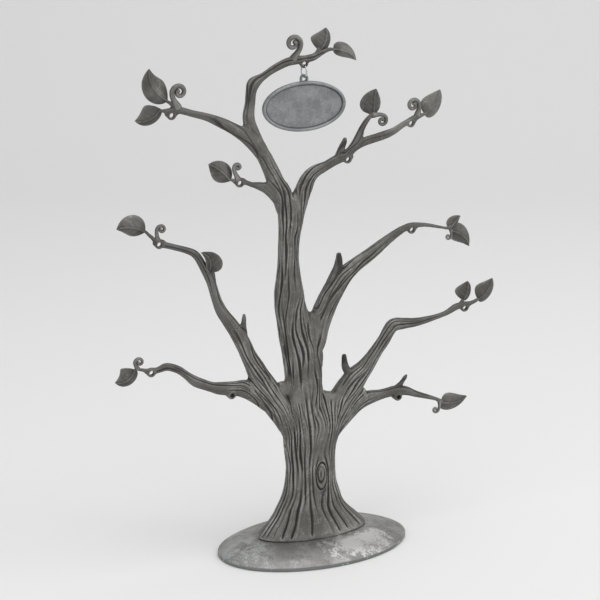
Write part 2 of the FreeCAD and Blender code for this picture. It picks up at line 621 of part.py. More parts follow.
left_twig_branch = casting(
    "left_twig",
    [left_twig.run(), left_twig.pin(0), lug(*LEFT_TWIG_HOLE_SHARES, thin),
     leaf(LEFT_TWIG_LEAF_SHARES, 152, -12, 24, 10),
     curl(LEFT_TWIG_CURL_SHARES, 92, 240, -1)],
    [bore_cut(*LEFT_TWIG_HOLE_SHARES)])

upper_right_branch = casting(
    "upper_right_branch",
    [upper_right.run(), upper_right.pin(0), spray.root(), twig(UPPER_RIGHT_STUB_SHARES),
     lug(*UPPER_RIGHT_HOLE_SHARES, thin),
     leaf(UPPER_RIGHT_LEAF_SHARES, 92, -12, 22, 5),
     curl(UPPER_RIGHT_CURL_SHARES, -35, 310, -1)],
    [bore_cut(*UPPER_RIGHT_HOLE_SHARES), spray.pin(gap)])

right_spray = casting(
    "right_spray",
    [spray.run(), spray.pin(0), lug(*SPRAY_HOLE_SHARES, thin),
     leaf(SPRAY_LEAF_SHARES, 28, 45, 20, 10),
     curl(SPRAY_CURL_SHARES, 115, 325, 1)],
    [bore_cut(*SPRAY_HOLE_SHARES)])


# Base: an oval dome with a low upright rim, flat on top for the bole and hollowed below for the
# felt. Seen from the side, the dome follows an arc of an ellipse that reaches past the rim.

BASE_SIDES = 48
DOME_STEPS = 3


def base_outline(share, up):
    """The base's oval at a share of its size, in flat facets."""
    outline = []
    for step in range(BASE_SIDES):
        angle = math.tau * step / BASE_SIDES
        across = size("base_length") / 2 * share * math.cos(angle)
        outline.append(V(across, size("base_breadth") / 2 * share * math.sin(angle), up))
    return outline


def dome():
    """The base before it is hollowed, from its foot over the rim and up to the seat."""
    swell = size("dome_swell_share")
    sink = size("dome_sink")
    rise = (size("base_rim") + sink) / math.sqrt(1 - 1 / swell ** 2)
    seat_share = swell * math.sqrt(1 - ((size("seat_height") + sink) / rise) ** 2)
    outlines = [base_outline(1, size("felt_stand"))]
    for step in range(DOME_STEPS + 1):
        share = 1 - (1 - seat_share) * step / DOME_STEPS
        outlines.append(base_outline(share, rise * math.sqrt(1 - (share / swell) ** 2) - sink))
    return skin(outlines)


def slab(name, inset, low, high):
    """An oval slab as large as the base less an inset, between two heights."""
    outline = doc.addObject("Part::Ellipse", f"{name}_outline")
    bind(
        outline, MajorRadius=f"Sizes.base_length / 2 - {inset}",
        MinorRadius=f"Sizes.base_breadth / 2 - {inset}", Placement__Base__z=low)
    item = doc.addObject("Part::Extrusion", name)
    item.Base = outline
    item.DirMode = "Custom"
    item.Dir = V(0, 0, 1)
    item.Solid = True
    return bind(item, LengthFwd=f"{high} - {low}")


def joined(kind, name, first, second):
    """A boolean of two objects."""
    result = doc.addObject(kind, name)
    result.Base = first
    result.Tool = second
    return result


base_body = doc.addObject("Part::Feature", "base_body")
base_body.Shape = dome()
felt_recess = slab("felt_recess", "Sizes.felt_margin", "0", "Sizes.felt_thickness")
base_recessed = joined("Part::Cut", "base_recessed", base_body, felt_recess)
base_felt = slab("base_felt", "(Sizes.felt_margin + Sizes.felt_gap)", "0", "Sizes.felt_thickness")
base_felt.Label = "base_felt"

SCREW_MIDDLE = "Sizes.spread * Sizes.bole_foot_share"


def countersunk(name, across, foot, gap, length):
    """A countersunk head and its shank in flats, upright on a foot; with a gap, their hole."""
    head = doc.addObject("Part::Cone", f"{name}_head")
    bind(
        head, Radius1=f"Sizes.screw_head_radius + {gap}", Radius2=f"Sizes.screw_radius + {gap}",
        Height="Sizes.screw_head_height", Placement__Base__x=across, Placement__Base__z=foot)
    shank = doc.addObject("Part::Prism", f"{name}_shank")
    shank.Polygon = SCREW_SIDES
    bind(
        shank, Circumradius=f"Sizes.screw_radius + {gap}", Height=length,
        Placement__Base__x=across, Placement__Base__z=foot)
    return joined("Part::Fuse", name, head, shank)


clearances = []
screws = []
for name, side in (("left_screw", "-"), ("right_screw", "+")):
    across = f"{SCREW_MIDDLE} {side} Sizes.screw_spacing / 2"
    clearances.append(countersunk(
        f"{name}_way", across, "Sizes.felt_thickness", "Sizes.screw_gap",
        "Sizes.screw_length + Sizes.overrun"))
    whole = countersunk(
        f"{name}_whole", across, "Sizes.felt_thickness + Sizes.screw_gap", "0", "Sizes.screw_length")
    slot = doc.addObject("Part::Box", f"{name}_slot")
    bind(
        slot, Length="2 * Sizes.screw_head_radius", Width="Sizes.screw_slot",
        Height="Sizes.screw_slot + Sizes.screw_gap",
        Placement__Base__x=across + " - Sizes.screw_head_radius",
        Placement__Base__y="-Sizes.screw_slot / 2", Placement__Base__z="Sizes.felt_thickness")
    screws.append(joined("Part::Cut", name, whole, slot))

screw_cuts = doc.addObject("Part::MultiFuse", "screw_cuts")
screw_cuts.Shapes = clearances
base_dome = joined("Part::Cut", "base_dome", base_recessed, screw_cuts)
base_dome.Label = "base_dome"
foot_screws = doc.addObject("Part::Compound", "foot_screws")
foot_screws.Links = screws
foot_screws.Label = "foot_screws"

# The jump ring hangs in the crown hole, and its wire rests on the hole's two lower edges.
HOLE_ACROSS = "Sizes.spread * Sizes.crown_hole_across_share"
HOLE_UP = "Sizes.tree_height * Sizes.crown_hole_up_share"
RING_BORE = "(Sizes.ring_radius - Sizes.ring_wire / 2)"
RING_UP = (
    f"({HOLE_UP} - Sizes.hole_width / 2 + Sizes.hang_gap"
    f" - sqrt({RING_BORE}^2 - (Sizes.crown_lug_thickness / 2)^2))")
UPRIGHT = FreeCAD.Rotation(V(1, 0, 0), 90)
RING_SIDES = 8
ring_wire = doc.addObject("Part::RegularPolygon", "ring_wire")
ring_wire.Polygon = RING_SIDES
ring_wire.Placement = FreeCAD.Placement(V(0, 0, 0), UPRIGHT)
bind(
    ring_wire, Circumradius="Sizes.ring_wire / 2",
    Placement__Base__x=HOLE_ACROSS, Placement__Base__z=f"{RING_UP} + Sizes.ring_radius")
jump_ring = doc.addObject("Part::Revolution", "jump_ring")
jump_ring.Label = "jump_ring"
jump_ring.Source = ring_wire
jump_ring.Axis = V(1, 0, 0)
jump_ring.Solid = True
bind(jump_ring, Base__x=HOLE_ACROSS, Base__z=RING_UP)

# The oval frame: a tray with a raised rim, and a loop that the ring's lower wire carries.
LOOP_UP = (
    f"({RING_UP} - sqrt({RING_BORE}^2 - (Sizes.loop_thickness / 2)^2)"
    " + Sizes.hang_gap - Sizes.loop_hole / 2)")
OVAL_UP = f"({LOOP_UP} - Sizes.loop_rise - Sizes.oval_height / 2)"
OVAL_FRONT = "(-Sizes.oval_lead - Sizes.oval_thickness / 2)"


def upright_oval(name, inset, back):
    """An oval outline that faces the viewer; back is its distance behind the front face."""
    outline = doc.addObject("Part::Ellipse", name)
    outline.Placement = FreeCAD.Placement(V(0, 0, 0), UPRIGHT)
    return bind(
        outline,
        MajorRadius=f"Sizes.oval_length / 2 - {inset}", MinorRadius=f"Sizes.oval_height / 2 - {inset}",
        Placement__Base__x=HOLE_ACROSS, Placement__Base__y=f"{OVAL_FRONT} + {back}",
        Placement__Base__z=OVAL_UP)


def upright_loft(name, places):
    """A solid through ovals that face the viewer, each given by its inset and its place behind."""
    loft = doc.addObject("Part::Loft", name)
    loft.Sections = [
        upright_oval(f"{name}_{number}", inset, back)
        for number, (inset, back) in enumerate(places, start=1)]
    loft.Solid = True
    loft.Ruled = True
    return loft


def cross_cylinder(name, radius, length):
    """A cylinder through the loop's hole place, from front to back."""
    item = doc.addObject("Part::Cylinder", name)
    item.Placement = FreeCAD.Placement(V(0, 0, 0), FreeCAD.Rotation(V(1, 0, 0), -90))
    bind(
        item, Radius=radius, Height=length, Placement__Base__x=HOLE_ACROSS,
        Placement__Base__y=f"-({length}) / 2", Placement__Base__z=LOOP_UP)
    return item


oval_plate = upright_loft("oval_plate", [
    ("Sizes.oval_soft", "0"), ("0", "Sizes.oval_soft"),
    ("0", "(Sizes.oval_thickness - Sizes.oval_soft)"), ("Sizes.oval_soft", "Sizes.oval_thickness")])
tray = upright_loft("tray", [
    ("(Sizes.oval_rim - 2 * Sizes.oval_bead)", "(-Sizes.oval_bead)"),
    ("Sizes.oval_rim", "Sizes.oval_bead"), ("Sizes.oval_rim", "Sizes.oval_tray")])
oval_tray = joined("Part::Cut", "oval_tray", oval_plate, tray)
loop_round = cross_cylinder("loop_round", "Sizes.loop_hole / 2 + Sizes.loop_wall", "Sizes.loop_thickness")
loop_neck = doc.addObject("Part::Box", "loop_neck")
bind(
    loop_neck, Length="Sizes.loop_hole + 2 * Sizes.loop_wall", Width="Sizes.loop_thickness",
    Height="Sizes.loop_rise + Sizes.oval_rim / 2",
    Placement__Base__x=f"{HOLE_ACROSS} - Sizes.loop_hole / 2 - Sizes.loop_wall",
    Placement__Base__y="-Sizes.loop_thickness / 2",
    Placement__Base__z=f"{LOOP_UP} - Sizes.loop_rise - Sizes.oval_rim / 2")
oval_whole = doc.addObject("Part::MultiFuse", "oval_whole")
oval_whole.Shapes = [oval_tray, loop_round, loop_neck]
loop_bore = cross_cylinder(
    "loop_bore", "Sizes.loop_hole / 2", "Sizes.loop_thickness + Sizes.oval_thickness")
oval_frame = joined("Part::Cut", "oval_frame", oval_whole, loop_bore)
oval_frame.Label = "oval_frame"

doc.recompute()

NODES = [
    base_dome, base_felt, foot_screws, trunk, leader_limb, left_limb, lower_left_branch,
    right_upper_limb, right_lower_limb, lower_right_branch, upper_left_branch, crown_branch,
    left_twig_branch, upper_right_branch, right_spray, jump_ring, oval_frame,
]

for item in doc.Objects:
    if "Invalid" in item.State or "Error" in item.State:
        raise RuntimeError(f"{item.Label} did not compute: {item.State}")
for node in NODES:
    if node.Shape.isNull() or not node.Shape.isValid():
        raise RuntimeError(f"{node.Label} has a bad shape")

os.makedirs("parts", exist_ok=True)
for node in NODES:
    node.Shape.exportStep(f"parts/{node.Label}.step")
    box = node.Shape.optimalBoundingBox()
    print(
        f"{node.Label}: {len(node.Shape.Solids)} solid, {node.Shape.Volume:.0f} mm3,"
        f" x {box.XMin:.1f} to {box.XMax:.1f}, y {box.YMin:.1f} to {box.YMax:.1f},"
        f" z {box.ZMin:.1f} to {box.ZMax:.1f}")
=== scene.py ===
# %% [markdown]
# # A cast metal photo tree, dressed for its portrait
#
# The stand is a tree of grey pewter-like castings on an oval dome. Small picture frames hang from
# holes in its lugs, and one oval frame hangs there now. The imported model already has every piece
# at its real size, so this lesson only dresses it: bark with rounded ridges and dark grooves,
# leaves with veins, curled tendrils, a worn base and a smudged oval frame.
#
# Everything is in metres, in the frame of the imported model: X along the spread of the branches,
# Y from the viewer to the back, Z up.

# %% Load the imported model
import bpy
import bmesh
import json
import math
import numpy as np
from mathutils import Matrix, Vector

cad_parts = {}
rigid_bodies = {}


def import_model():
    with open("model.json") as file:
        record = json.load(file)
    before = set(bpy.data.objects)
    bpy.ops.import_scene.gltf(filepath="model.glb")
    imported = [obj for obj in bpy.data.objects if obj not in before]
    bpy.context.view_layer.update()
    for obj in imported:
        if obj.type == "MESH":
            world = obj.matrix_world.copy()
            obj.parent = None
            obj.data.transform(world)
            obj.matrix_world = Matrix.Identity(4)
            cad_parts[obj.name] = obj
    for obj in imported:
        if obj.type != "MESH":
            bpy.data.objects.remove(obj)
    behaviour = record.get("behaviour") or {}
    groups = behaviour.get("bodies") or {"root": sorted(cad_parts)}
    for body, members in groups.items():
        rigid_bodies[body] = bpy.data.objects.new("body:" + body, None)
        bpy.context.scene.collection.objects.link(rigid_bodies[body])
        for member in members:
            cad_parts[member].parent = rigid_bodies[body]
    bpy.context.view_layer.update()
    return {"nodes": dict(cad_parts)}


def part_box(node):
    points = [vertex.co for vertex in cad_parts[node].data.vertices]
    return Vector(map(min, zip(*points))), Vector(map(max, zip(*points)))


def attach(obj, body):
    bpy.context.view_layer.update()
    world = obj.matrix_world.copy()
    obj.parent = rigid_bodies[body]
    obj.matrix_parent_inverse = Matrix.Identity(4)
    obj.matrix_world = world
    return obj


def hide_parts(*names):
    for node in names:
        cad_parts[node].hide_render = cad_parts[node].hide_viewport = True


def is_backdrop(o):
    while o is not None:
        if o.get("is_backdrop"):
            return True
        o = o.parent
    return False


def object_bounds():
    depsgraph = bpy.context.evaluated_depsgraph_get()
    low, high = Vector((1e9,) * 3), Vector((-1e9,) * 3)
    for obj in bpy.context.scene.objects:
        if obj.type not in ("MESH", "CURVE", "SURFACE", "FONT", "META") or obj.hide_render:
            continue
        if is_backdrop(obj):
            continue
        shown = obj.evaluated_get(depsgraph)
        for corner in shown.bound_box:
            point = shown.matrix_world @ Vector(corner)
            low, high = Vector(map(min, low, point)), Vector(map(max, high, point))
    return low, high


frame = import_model()

# %% [markdown]
# ## The driving sizes
#
# The designer drew the tree on a plane, with places given as shares: across of the spread, up of
# the height, and thickness of the trunk's own girth. The same shares are used here, so that the
# bark fits the castings that it stands for. A helper turns a share into a place in metres.

# %% Sizes and places
SPREAD = 0.250
TREE_HEIGHT = 0.320
BOLE_GIRTH = 0.032
SEAT_HEIGHT = 0.010
MM = 0.001
FINE_VOXEL = 0.34 * MM
CLOSE = FINE_VOXEL


def place(across_share, up_share):
    """A point of the tree's plane, in metres."""
    return np.array([SPREAD * across_share, 0.0, TREE_HEIGHT * up_share])


def smoothstep(low, high, value):
    """0 below low, 1 above high, and an easy curve between them."""
    share = np.clip((value - low) / (high - low), 0, 1)
    return share * share * (3 - 2 * share)


print("spread, height and girth in mm:", [round(size / MM) for size in (SPREAD, TREE_HEIGHT, BOLE_GIRTH)])

# %% [markdown]
# ## Where each limb runs
#
# A cast branch tapers, bends and thickens unevenly, and that is what makes it look grown. One way
# to make it is a skin modifier on a few edges, but its thickness is hard to steer. A table of
# stations is easier: each row holds across, up and thickness, and a smooth curve runs through
# them. `joint` is the station at which a casting is soldered to its parent.
#
# The bark's grain runs through the whole tree like the threads of a rope: sixteen lanes go up the
# front of the bole, and every limb takes a few of them with it. `lanes` says which lanes a limb
# holds from a station on, from its left edge to its right. Because the limbs on both sides of a
# crotch share a lane's edge, no line ever ends in the air or crosses another.

# %% Tables of the limbs
BOLE_SHARES = [
    (-0.002, 0.000, 2.26, 1.05), (-0.002, 0.005, 2.22, 1.03), (-0.002, 0.013, 2.07, 0.94),
    (-0.003, 0.025, 1.84, 0.84), (-0.006, 0.040, 1.57, 0.74), (-0.008, 0.056, 1.37, 0.67),
    (-0.006, 0.076, 1.20, 0.61), (-0.006, 0.102, 1.06, 0.59), (-0.006, 0.135, 1.01, 0.58),
    (-0.007, 0.165, 1.06, 0.58), (-0.003, 0.195, 1.18, 0.57), (0.004, 0.222, 1.30, 0.52),
    (0.002, 0.246, 1.30, 0.44), (-0.010, 0.268, 1.10, 0.34),
]
LIMBS = {
    "left_limb": dict(parent="trunk", joint=4, lanes=[(3, 2.0, 4.3), (6, 2.0, 4.3)], stations=[
        (-0.032, 0.1875, 0.42), (-0.048, 0.231, 0.46), (-0.072, 0.269, 0.50), (-0.104, 0.306, 0.51),
        (-0.137, 0.350, 0.455), (-0.151, 0.375, 0.37), (-0.170, 0.406, 0.31), (-0.189, 0.4375, 0.30),
        (-0.214, 0.469, 0.26), (-0.235, 0.494, 0.225), (-0.248, 0.519, 0.19), (-0.261, 0.553, 0.18),
        (-0.280, 0.584, 0.165), (-0.297, 0.606, 0.15), (-0.317, 0.616, 0.13), (-0.352, 0.626, 0.12),
        (-0.387, 0.636, 0.125), (-0.404, 0.648, 0.08), (-0.422, 0.6625, 0.06)]),
    "lower_left_branch": dict(parent="trunk", joint=4, lanes=[(3, 0.0, 2.0), (6, 0.0, 2.0)], stations=[
        (-0.046, 0.228, 0.36), (-0.074, 0.267, 0.37), (-0.111, 0.300, 0.385), (-0.148, 0.323, 0.365),
        (-0.178, 0.337, 0.345), (-0.204, 0.341, 0.285), (-0.240, 0.345, 0.245), (-0.262, 0.350, 0.20),
        (-0.282, 0.357, 0.20), (-0.304, 0.366, 0.20), (-0.322, 0.378, 0.165), (-0.342, 0.391, 0.155),
        (-0.362, 0.399, 0.153), (-0.378, 0.4015, 0.15), (-0.394, 0.398, 0.13), (-0.413, 0.397, 0.11),
        (-0.432, 0.4015, 0.07), (-0.453, 0.406, 0.055)]),
    "leader": dict(parent="trunk", joint=3, lanes=[(5, 4.3, 10.7), (8, 4.3, 8.2)], stations=[
        (-0.016, 0.206, 0.60), (-0.020, 0.250, 0.72), (-0.022, 0.297, 0.74), (-0.0245, 0.350, 0.75),
        (-0.032, 0.391, 0.745), (-0.042, 0.430, 0.72), (-0.053, 0.465, 0.655), (-0.060, 0.487, 0.61),
        (-0.063, 0.516, 0.575), (-0.064, 0.547, 0.475), (-0.064, 0.578, 0.415), (-0.062, 0.619, 0.42),
        (-0.058, 0.650, 0.49), (-0.057, 0.672, 0.52), (-0.056, 0.686, 0.42)]),
    "right_upper_limb": dict(parent="leader", joint=3, lanes=[(2, 8.2, 10.7), (5, 8.2, 10.7)], stations=[
        (-0.020, 0.372, 0.38), (0.000, 0.406, 0.47), (0.016, 0.447, 0.455), (0.036, 0.483, 0.43),
        (0.056, 0.510, 0.42), (0.078, 0.531, 0.37), (0.110, 0.550, 0.285), (0.151, 0.569, 0.25),
        (0.189, 0.589, 0.205), (0.224, 0.605, 0.155), (0.243, 0.6115, 0.14), (0.263, 0.615, 0.122),
        (0.300, 0.613, 0.082), (0.336, 0.606, 0.066), (0.366, 0.600, 0.06)]),
    "right_lower_limb": dict(parent="trunk", joint=4, lanes=[(3, 10.7, 13.6), (6, 10.7, 13.6)], stations=[
        (0.016, 0.194, 0.40), (0.036, 0.231, 0.45), (0.060, 0.269, 0.51), (0.086, 0.298, 0.53),
        (0.111, 0.324, 0.49), (0.140, 0.346, 0.345), (0.167, 0.372, 0.27), (0.190, 0.395, 0.25),
        (0.203, 0.412, 0.262), (0.216, 0.4225, 0.268), (0.244, 0.423, 0.225), (0.280, 0.4225, 0.175),
        (0.320, 0.4255, 0.125), (0.360, 0.432, 0.112), (0.388, 0.442, 0.135), (0.412, 0.4445, 0.122),
        (0.432, 0.446, 0.09), (0.450, 0.4515, 0.07)]),
    "lower_right_branch": dict(parent="trunk", joint=4, lanes=[(3, 13.6, 16.0), (6, 13.6, 16.0)], stations=[
        (0.032, 0.206, 0.34), (0.060, 0.237, 0.375), (0.096, 0.264, 0.375), (0.128, 0.279, 0.33),
        (0.154, 0.2835, 0.275), (0.188, 0.2858, 0.20), (0.224, 0.289, 0.205), (0.252, 0.2856, 0.188),
        (0.280, 0.276, 0.14), (0.312, 0.267, 0.10), (0.338, 0.259, 0.082), (0.356, 0.252, 0.07)]),
    "upper_left_branch": dict(parent="leader", joint=2, lanes=[(1, 4.3, 6.4), (4, 4.8, 6.4), (7, 4.8, 5.5)],
                              stations=[
        (-0.060, 0.640, 0.34), (-0.068, 0.669, 0.375), (-0.081, 0.703, 0.39), (-0.096, 0.728, 0.33),
        (-0.112, 0.756, 0.295), (-0.132, 0.784, 0.28), (-0.158, 0.808, 0.285), (-0.184, 0.8235, 0.235),
        (-0.220, 0.8405, 0.205), (-0.260, 0.8555, 0.155), (-0.300, 0.866, 0.132), (-0.328, 0.8735, 0.138),
        (-0.350, 0.8745, 0.115), (-0.364, 0.875, 0.08), (-0.380, 0.8755, 0.06)]),
    "crown_branch": dict(parent="upper_left_branch", joint=2, lanes=[(1, 5.5, 6.4), (3, 5.5, 6.4)],
                         stations=[
        (-0.130, 0.786, 0.24), (-0.150, 0.815, 0.26), (-0.1625, 0.847, 0.235), (-0.159, 0.875, 0.205),
        (-0.156, 0.897, 0.21), (-0.149, 0.911, 0.24), (-0.128, 0.9215, 0.155), (-0.100, 0.934, 0.147),
        (-0.068, 0.944, 0.16), (-0.044, 0.9465, 0.165), (-0.022, 0.9475, 0.14), (0.000, 0.950, 0.14),
        (0.020, 0.957, 0.11), (0.038, 0.9615, 0.075), (0.057, 0.961, 0.055)]),
    "left_twig": dict(parent="upper_left_branch", joint=3, lanes=[(1, 4.3, 4.8), (3, 4.3, 4.8)], stations=[
        (-0.078, 0.682, 0.24), (-0.096, 0.702, 0.255), (-0.117, 0.7155, 0.21), (-0.136, 0.7215, 0.158),
        (-0.156, 0.726, 0.105), (-0.174, 0.7315, 0.112), (-0.187, 0.7345, 0.105), (-0.200, 0.737, 0.075),
        (-0.211, 0.7395, 0.058)]),
    "upper_right_branch": dict(parent="leader", joint=2,
                               lanes=[(1, 6.4, 8.2), (6, 6.4, 8.2), (8, 6.4, 7.4)], stations=[
        (-0.050, 0.650, 0.34), (-0.039, 0.678, 0.36), (-0.0245, 0.708, 0.33), (-0.011, 0.728, 0.285),
        (0.005, 0.739, 0.24), (0.032, 0.747, 0.19), (0.056, 0.7555, 0.185), (0.080, 0.7615, 0.168),
        (0.102, 0.775, 0.18), (0.117, 0.794, 0.16), (0.126, 0.811, 0.12), (0.138, 0.825, 0.105),
        (0.151, 0.8345, 0.08), (0.156, 0.838, 0.06)]),
    "right_spray": dict(parent="upper_right_branch", joint=3, lanes=[(0, 7.4, 8.2), (2, 7.4, 8.2)],
                        stations=[
        (0.092, 0.766, 0.14), (0.110, 0.7775, 0.16), (0.124, 0.783, 0.165), (0.142, 0.7875, 0.17),
        (0.180, 0.7935, 0.165), (0.208, 0.800, 0.14), (0.232, 0.810, 0.125), (0.254, 0.8175, 0.125),
        (0.272, 0.8235, 0.12), (0.286, 0.826, 0.075), (0.296, 0.8275, 0.06)]),
}
station_count = sum(len(limb["stations"]) for limb in LIMBS.values())
print("castings beside the trunk:", len(LIMBS), "stations:", station_count)

# %% [markdown]
# Dead stubs and leaf stalks are short limbs with no ridges. They belong to the casting that
# carries them, named first in each row.

# %% Tables of the stubs, stalks, lugs and webs
STUBS = [
    ("left_limb", [(-0.176, 0.4375, 0.12), (-0.1795, 0.459, 0.11), (-0.1785, 0.475, 0.095),
                   (-0.1785, 0.483, 0.06)]),
    ("right_upper_limb", [(0.050, 0.520, 0.26), (0.0645, 0.5485, 0.19), (0.0675, 0.5655, 0.155),
                          (0.067, 0.577, 0.11)]),
    ("right_lower_limb", [(0.100, 0.335, 0.18), (0.0880, 0.350, 0.155), (0.0845, 0.3625, 0.14),
                          (0.0832, 0.376, 0.10)]),
    ("lower_right_branch", [(0.226, 0.292, 0.14), (0.239, 0.3025, 0.11), (0.250, 0.3135, 0.09),
                            (0.2545, 0.3185, 0.045)]),
    ("upper_right_branch", [(0.062, 0.756, 0.16), (0.072, 0.775, 0.14), (0.0800, 0.7885, 0.115),
                            (0.0818, 0.795, 0.08)]),
    ("left_limb", [(-0.252, 0.539, 0.10), (-0.2535, 0.5625, 0.07), (-0.2555, 0.576, 0.05)]),
    ("upper_left_branch", [(-0.332, 0.874, 0.11), (-0.350, 0.886, 0.08), (-0.364, 0.893, 0.06)]),
    ("crown_branch", [(0.004, 0.952, 0.10), (0.010, 0.959, 0.08), (0.013, 0.966, 0.06)]),
    ("right_upper_limb", [(0.352, 0.602, 0.07), (0.364, 0.603, 0.06), (0.370, 0.606, 0.05)]),
    ("right_lower_limb", [(0.396, 0.442, 0.10), (0.403, 0.449, 0.085), (0.407, 0.455, 0.065)]),
    ("lower_right_branch", [(0.340, 0.2585, 0.08), (0.350, 0.251, 0.075), (0.356, 0.247, 0.06)]),
]
HOLE_RADIUS = 1.5 * MM
LUG_RADIUS = 2.75 * MM
LUGS = [
    ("left_limb", (-0.387, 0.634), 3.4), ("lower_left_branch", (-0.413, 0.3945), 3.4),
    ("lower_left_branch", (-0.215, 0.3315), 7.0), ("upper_left_branch", (-0.351, 0.866), 3.4),
    ("left_twig", (-0.1865, 0.7315), 3.4), ("upper_right_branch", (0.0885, 0.756), 3.4),
    ("right_spray", (0.254, 0.8125), 3.4), ("right_upper_limb", (0.261, 0.6075), 3.4),
    ("right_lower_limb", (0.412, 0.4385), 3.4), ("lower_right_branch", (0.227, 0.2785), 7.0),
    ("crown_branch", (-0.024, 0.9394), 2.4),
]
# Webs of metal in the crotches: across, up, then half width, half depth and half height in mm.
WEBS = [
    ("trunk", (-0.081, 0.324), (6.6, 3.0, 5.6)), ("trunk", (0.046, 0.277), (6.0, 3.0, 5.5)),
    ("leader", (-0.008, 0.444), (3.2, 3.0, 9.0)),
    ("leader", (0.0045, 0.375), (5.6, 4.8, 14.0)), ("leader", (-0.051, 0.682), (3.5, 3.2, 5.5)),
    ("trunk", (-0.158, 0.338), (3.0, 2.6, 3.5)), ("trunk", (0.130, 0.297), (3.5, 2.4, 3.0)),
]
print("stubs:", len(STUBS), "holes:", len(LUGS), "webs:", len(WEBS))

# %% [markdown]
# ## From a table to a tube
#
# A Catmull-Rom curve passes through every station, so the table can be read off the real object.
# Between stations it is sampled every millimetre or so. The samples then serve twice: they give
# the rings of a closed tube, and later they tell each point of the bark how far round its limb
# it is and at which station.

# %% Smooth runs
SAMPLE = 0.8 * MM
ROUND_SHARE = 0.95
FLATTENING_SHARE = 0.35


def half_depth(half_width):
    """Thin twigs are nearly round; the thicker a limb is, the flatter it was cast."""
    return half_width * (ROUND_SHARE - FLATTENING_SHARE * 2 * half_width / BOLE_GIRTH)


def station_rows(stations, lift=0.0):
    """Across, up, half width, half depth and the station's number, in metres."""
    rows = []
    for number, station in enumerate(stations):
        point = place(*station[:2])
        wide = BOLE_GIRTH * station[2] / 2
        deep = BOLE_GIRTH * station[3] / 2 if len(station) > 3 else half_depth(wide)
        rows.append((point[0], point[2] + lift, wide, deep, number))
    return np.array(rows)


def smooth_run(rows, step=SAMPLE):
    """Samples of a Catmull-Rom curve through the rows."""
    ends = np.vstack([2 * rows[0] - rows[1], rows, 2 * rows[-1] - rows[-2]])
    runs = []
    for first in range(len(ends) - 3):
        a, b, c, d = ends[first:first + 4]
        count = max(2, int(np.hypot(*(c - b)[:2]) / step))
        t = np.linspace(0, 1, count, endpoint=False)[:, None]
        runs.append(0.5 * (2 * b + (c - a) * t + (2 * a - 5 * b + 4 * c - d) * t ** 2
                           + (3 * b - a - 3 * c + d) * t ** 3))
    return np.vstack(runs + [rows[-1:]])


def headings(run, level=False):
    """Unit headings along a run, in the tree's plane; a level run's rings lie flat."""
    way = np.gradient(run[:, :2], axis=0)
    if level:
        way[:, 0] = 0
    return way / np.linalg.norm(way, axis=1)[:, None]


runs = {"trunk": smooth_run(station_rows(BOLE_SHARES, SEAT_HEIGHT))}
runs.update({name: smooth_run(station_rows(limb["stations"])) for name, limb in LIMBS.items()})
stub_runs = [(name, smooth_run(station_rows(stations))) for name, stations in STUBS]
print("limb samples:", {name: len(run) for name, run in runs.items()})

# %% [markdown]
# Nearly every round thing here is a stack of rings with quads between them, so one helper makes
# those faces for tubes, drums, ovals and wire. Each shape only has to say where its rings lie.

# %% Rings of faces
def in_scene(name, data):
    """A new object for some data, linked to the scene."""
    made = bpy.data.objects.new(name, data)
    bpy.context.scene.collection.objects.link(made)
    return made


def mesh_from(name, parts):
    """One mesh object from several sets of points and faces."""
    points, faces = [], []
    for more_points, more_faces in parts:
        start = len(points)
        points += [tuple(point) for point in more_points]
        faces += [tuple(start + corner for corner in face) for face in more_faces]
    mesh = bpy.data.meshes.new(name)
    mesh.from_pydata(points, [], faces)
    mesh.validate()
    return in_scene(name, mesh)


def bands(rings, sides, first=0, turned=False):
    """Quads between rings of points that follow each other; turned ones face the other way."""
    faces = []
    for low in range(first, first + (rings - 1) * sides, sides):
        for side in range(sides):
            after = (side + 1) % sides
            corners = (low + side, low + after, low + sides + after, low + sides + side)
            faces.append((corners[0], *corners[:0:-1]) if turned else corners)
    return faces


print("quads between three rings of eight:", len(bands(3, 8)))

# %% [markdown]
# A limb is a stack of oval rings that stand square to its run. Its far end is drawn in over two
# smaller rings, so that it looks blunt and not sawn off. The bole's rings lie level instead,
# because its foot spreads too widely for rings that turn with the run.

# %% Tubes
TIP_STEPS = ((0.45, 0.85), (0.8, 0.45))  # how far past a tube's end, and how thick there


def tube(run, sides=28, blunt=0.7, level=False):
    """Points and faces of a closed tube along a run, with a rounded far end."""
    way = headings(run, level)
    angle = np.linspace(0, 2 * math.pi, sides, endpoint=False)
    centre, wide, deep = run[:, :2], run[:, 2], run[:, 3]
    ahead, thick = np.array(TIP_STEPS).T
    tip = np.array([centre[-1] + way[-1] * wide[-1] * (step * blunt) for step in ahead])
    centre = np.vstack([centre, tip])
    way = np.vstack([way, way[-1:], way[-1:]])
    wide = np.append(wide, wide[-1] * thick)
    deep = np.append(deep, deep[-1] * thick)
    across = np.stack([-way[:, 1], way[:, 0]], axis=1)
    x = centre[:, :1] + across[:, :1] * wide[:, None] * np.cos(angle)
    z = centre[:, 1:] + across[:, 1:] * wide[:, None] * np.cos(angle)
    y = deep[:, None] * np.sin(angle)
    points = np.stack([x, y, z], axis=-1).reshape(-1, 3)
    last = len(points) - sides
    ends = [tuple(range(sides - 1, -1, -1)), tuple(range(last, last + sides))]
    return points, bands(len(centre), sides) + ends


print("points of the leader's tube:", len(tube(runs["leader"])[0]))

# %% [markdown]
# A web of metal in a crotch is a flattened ball, half sunk into both limbs. A lug is a short
# drum with its edges softened, and a plain drum serves as the drill.

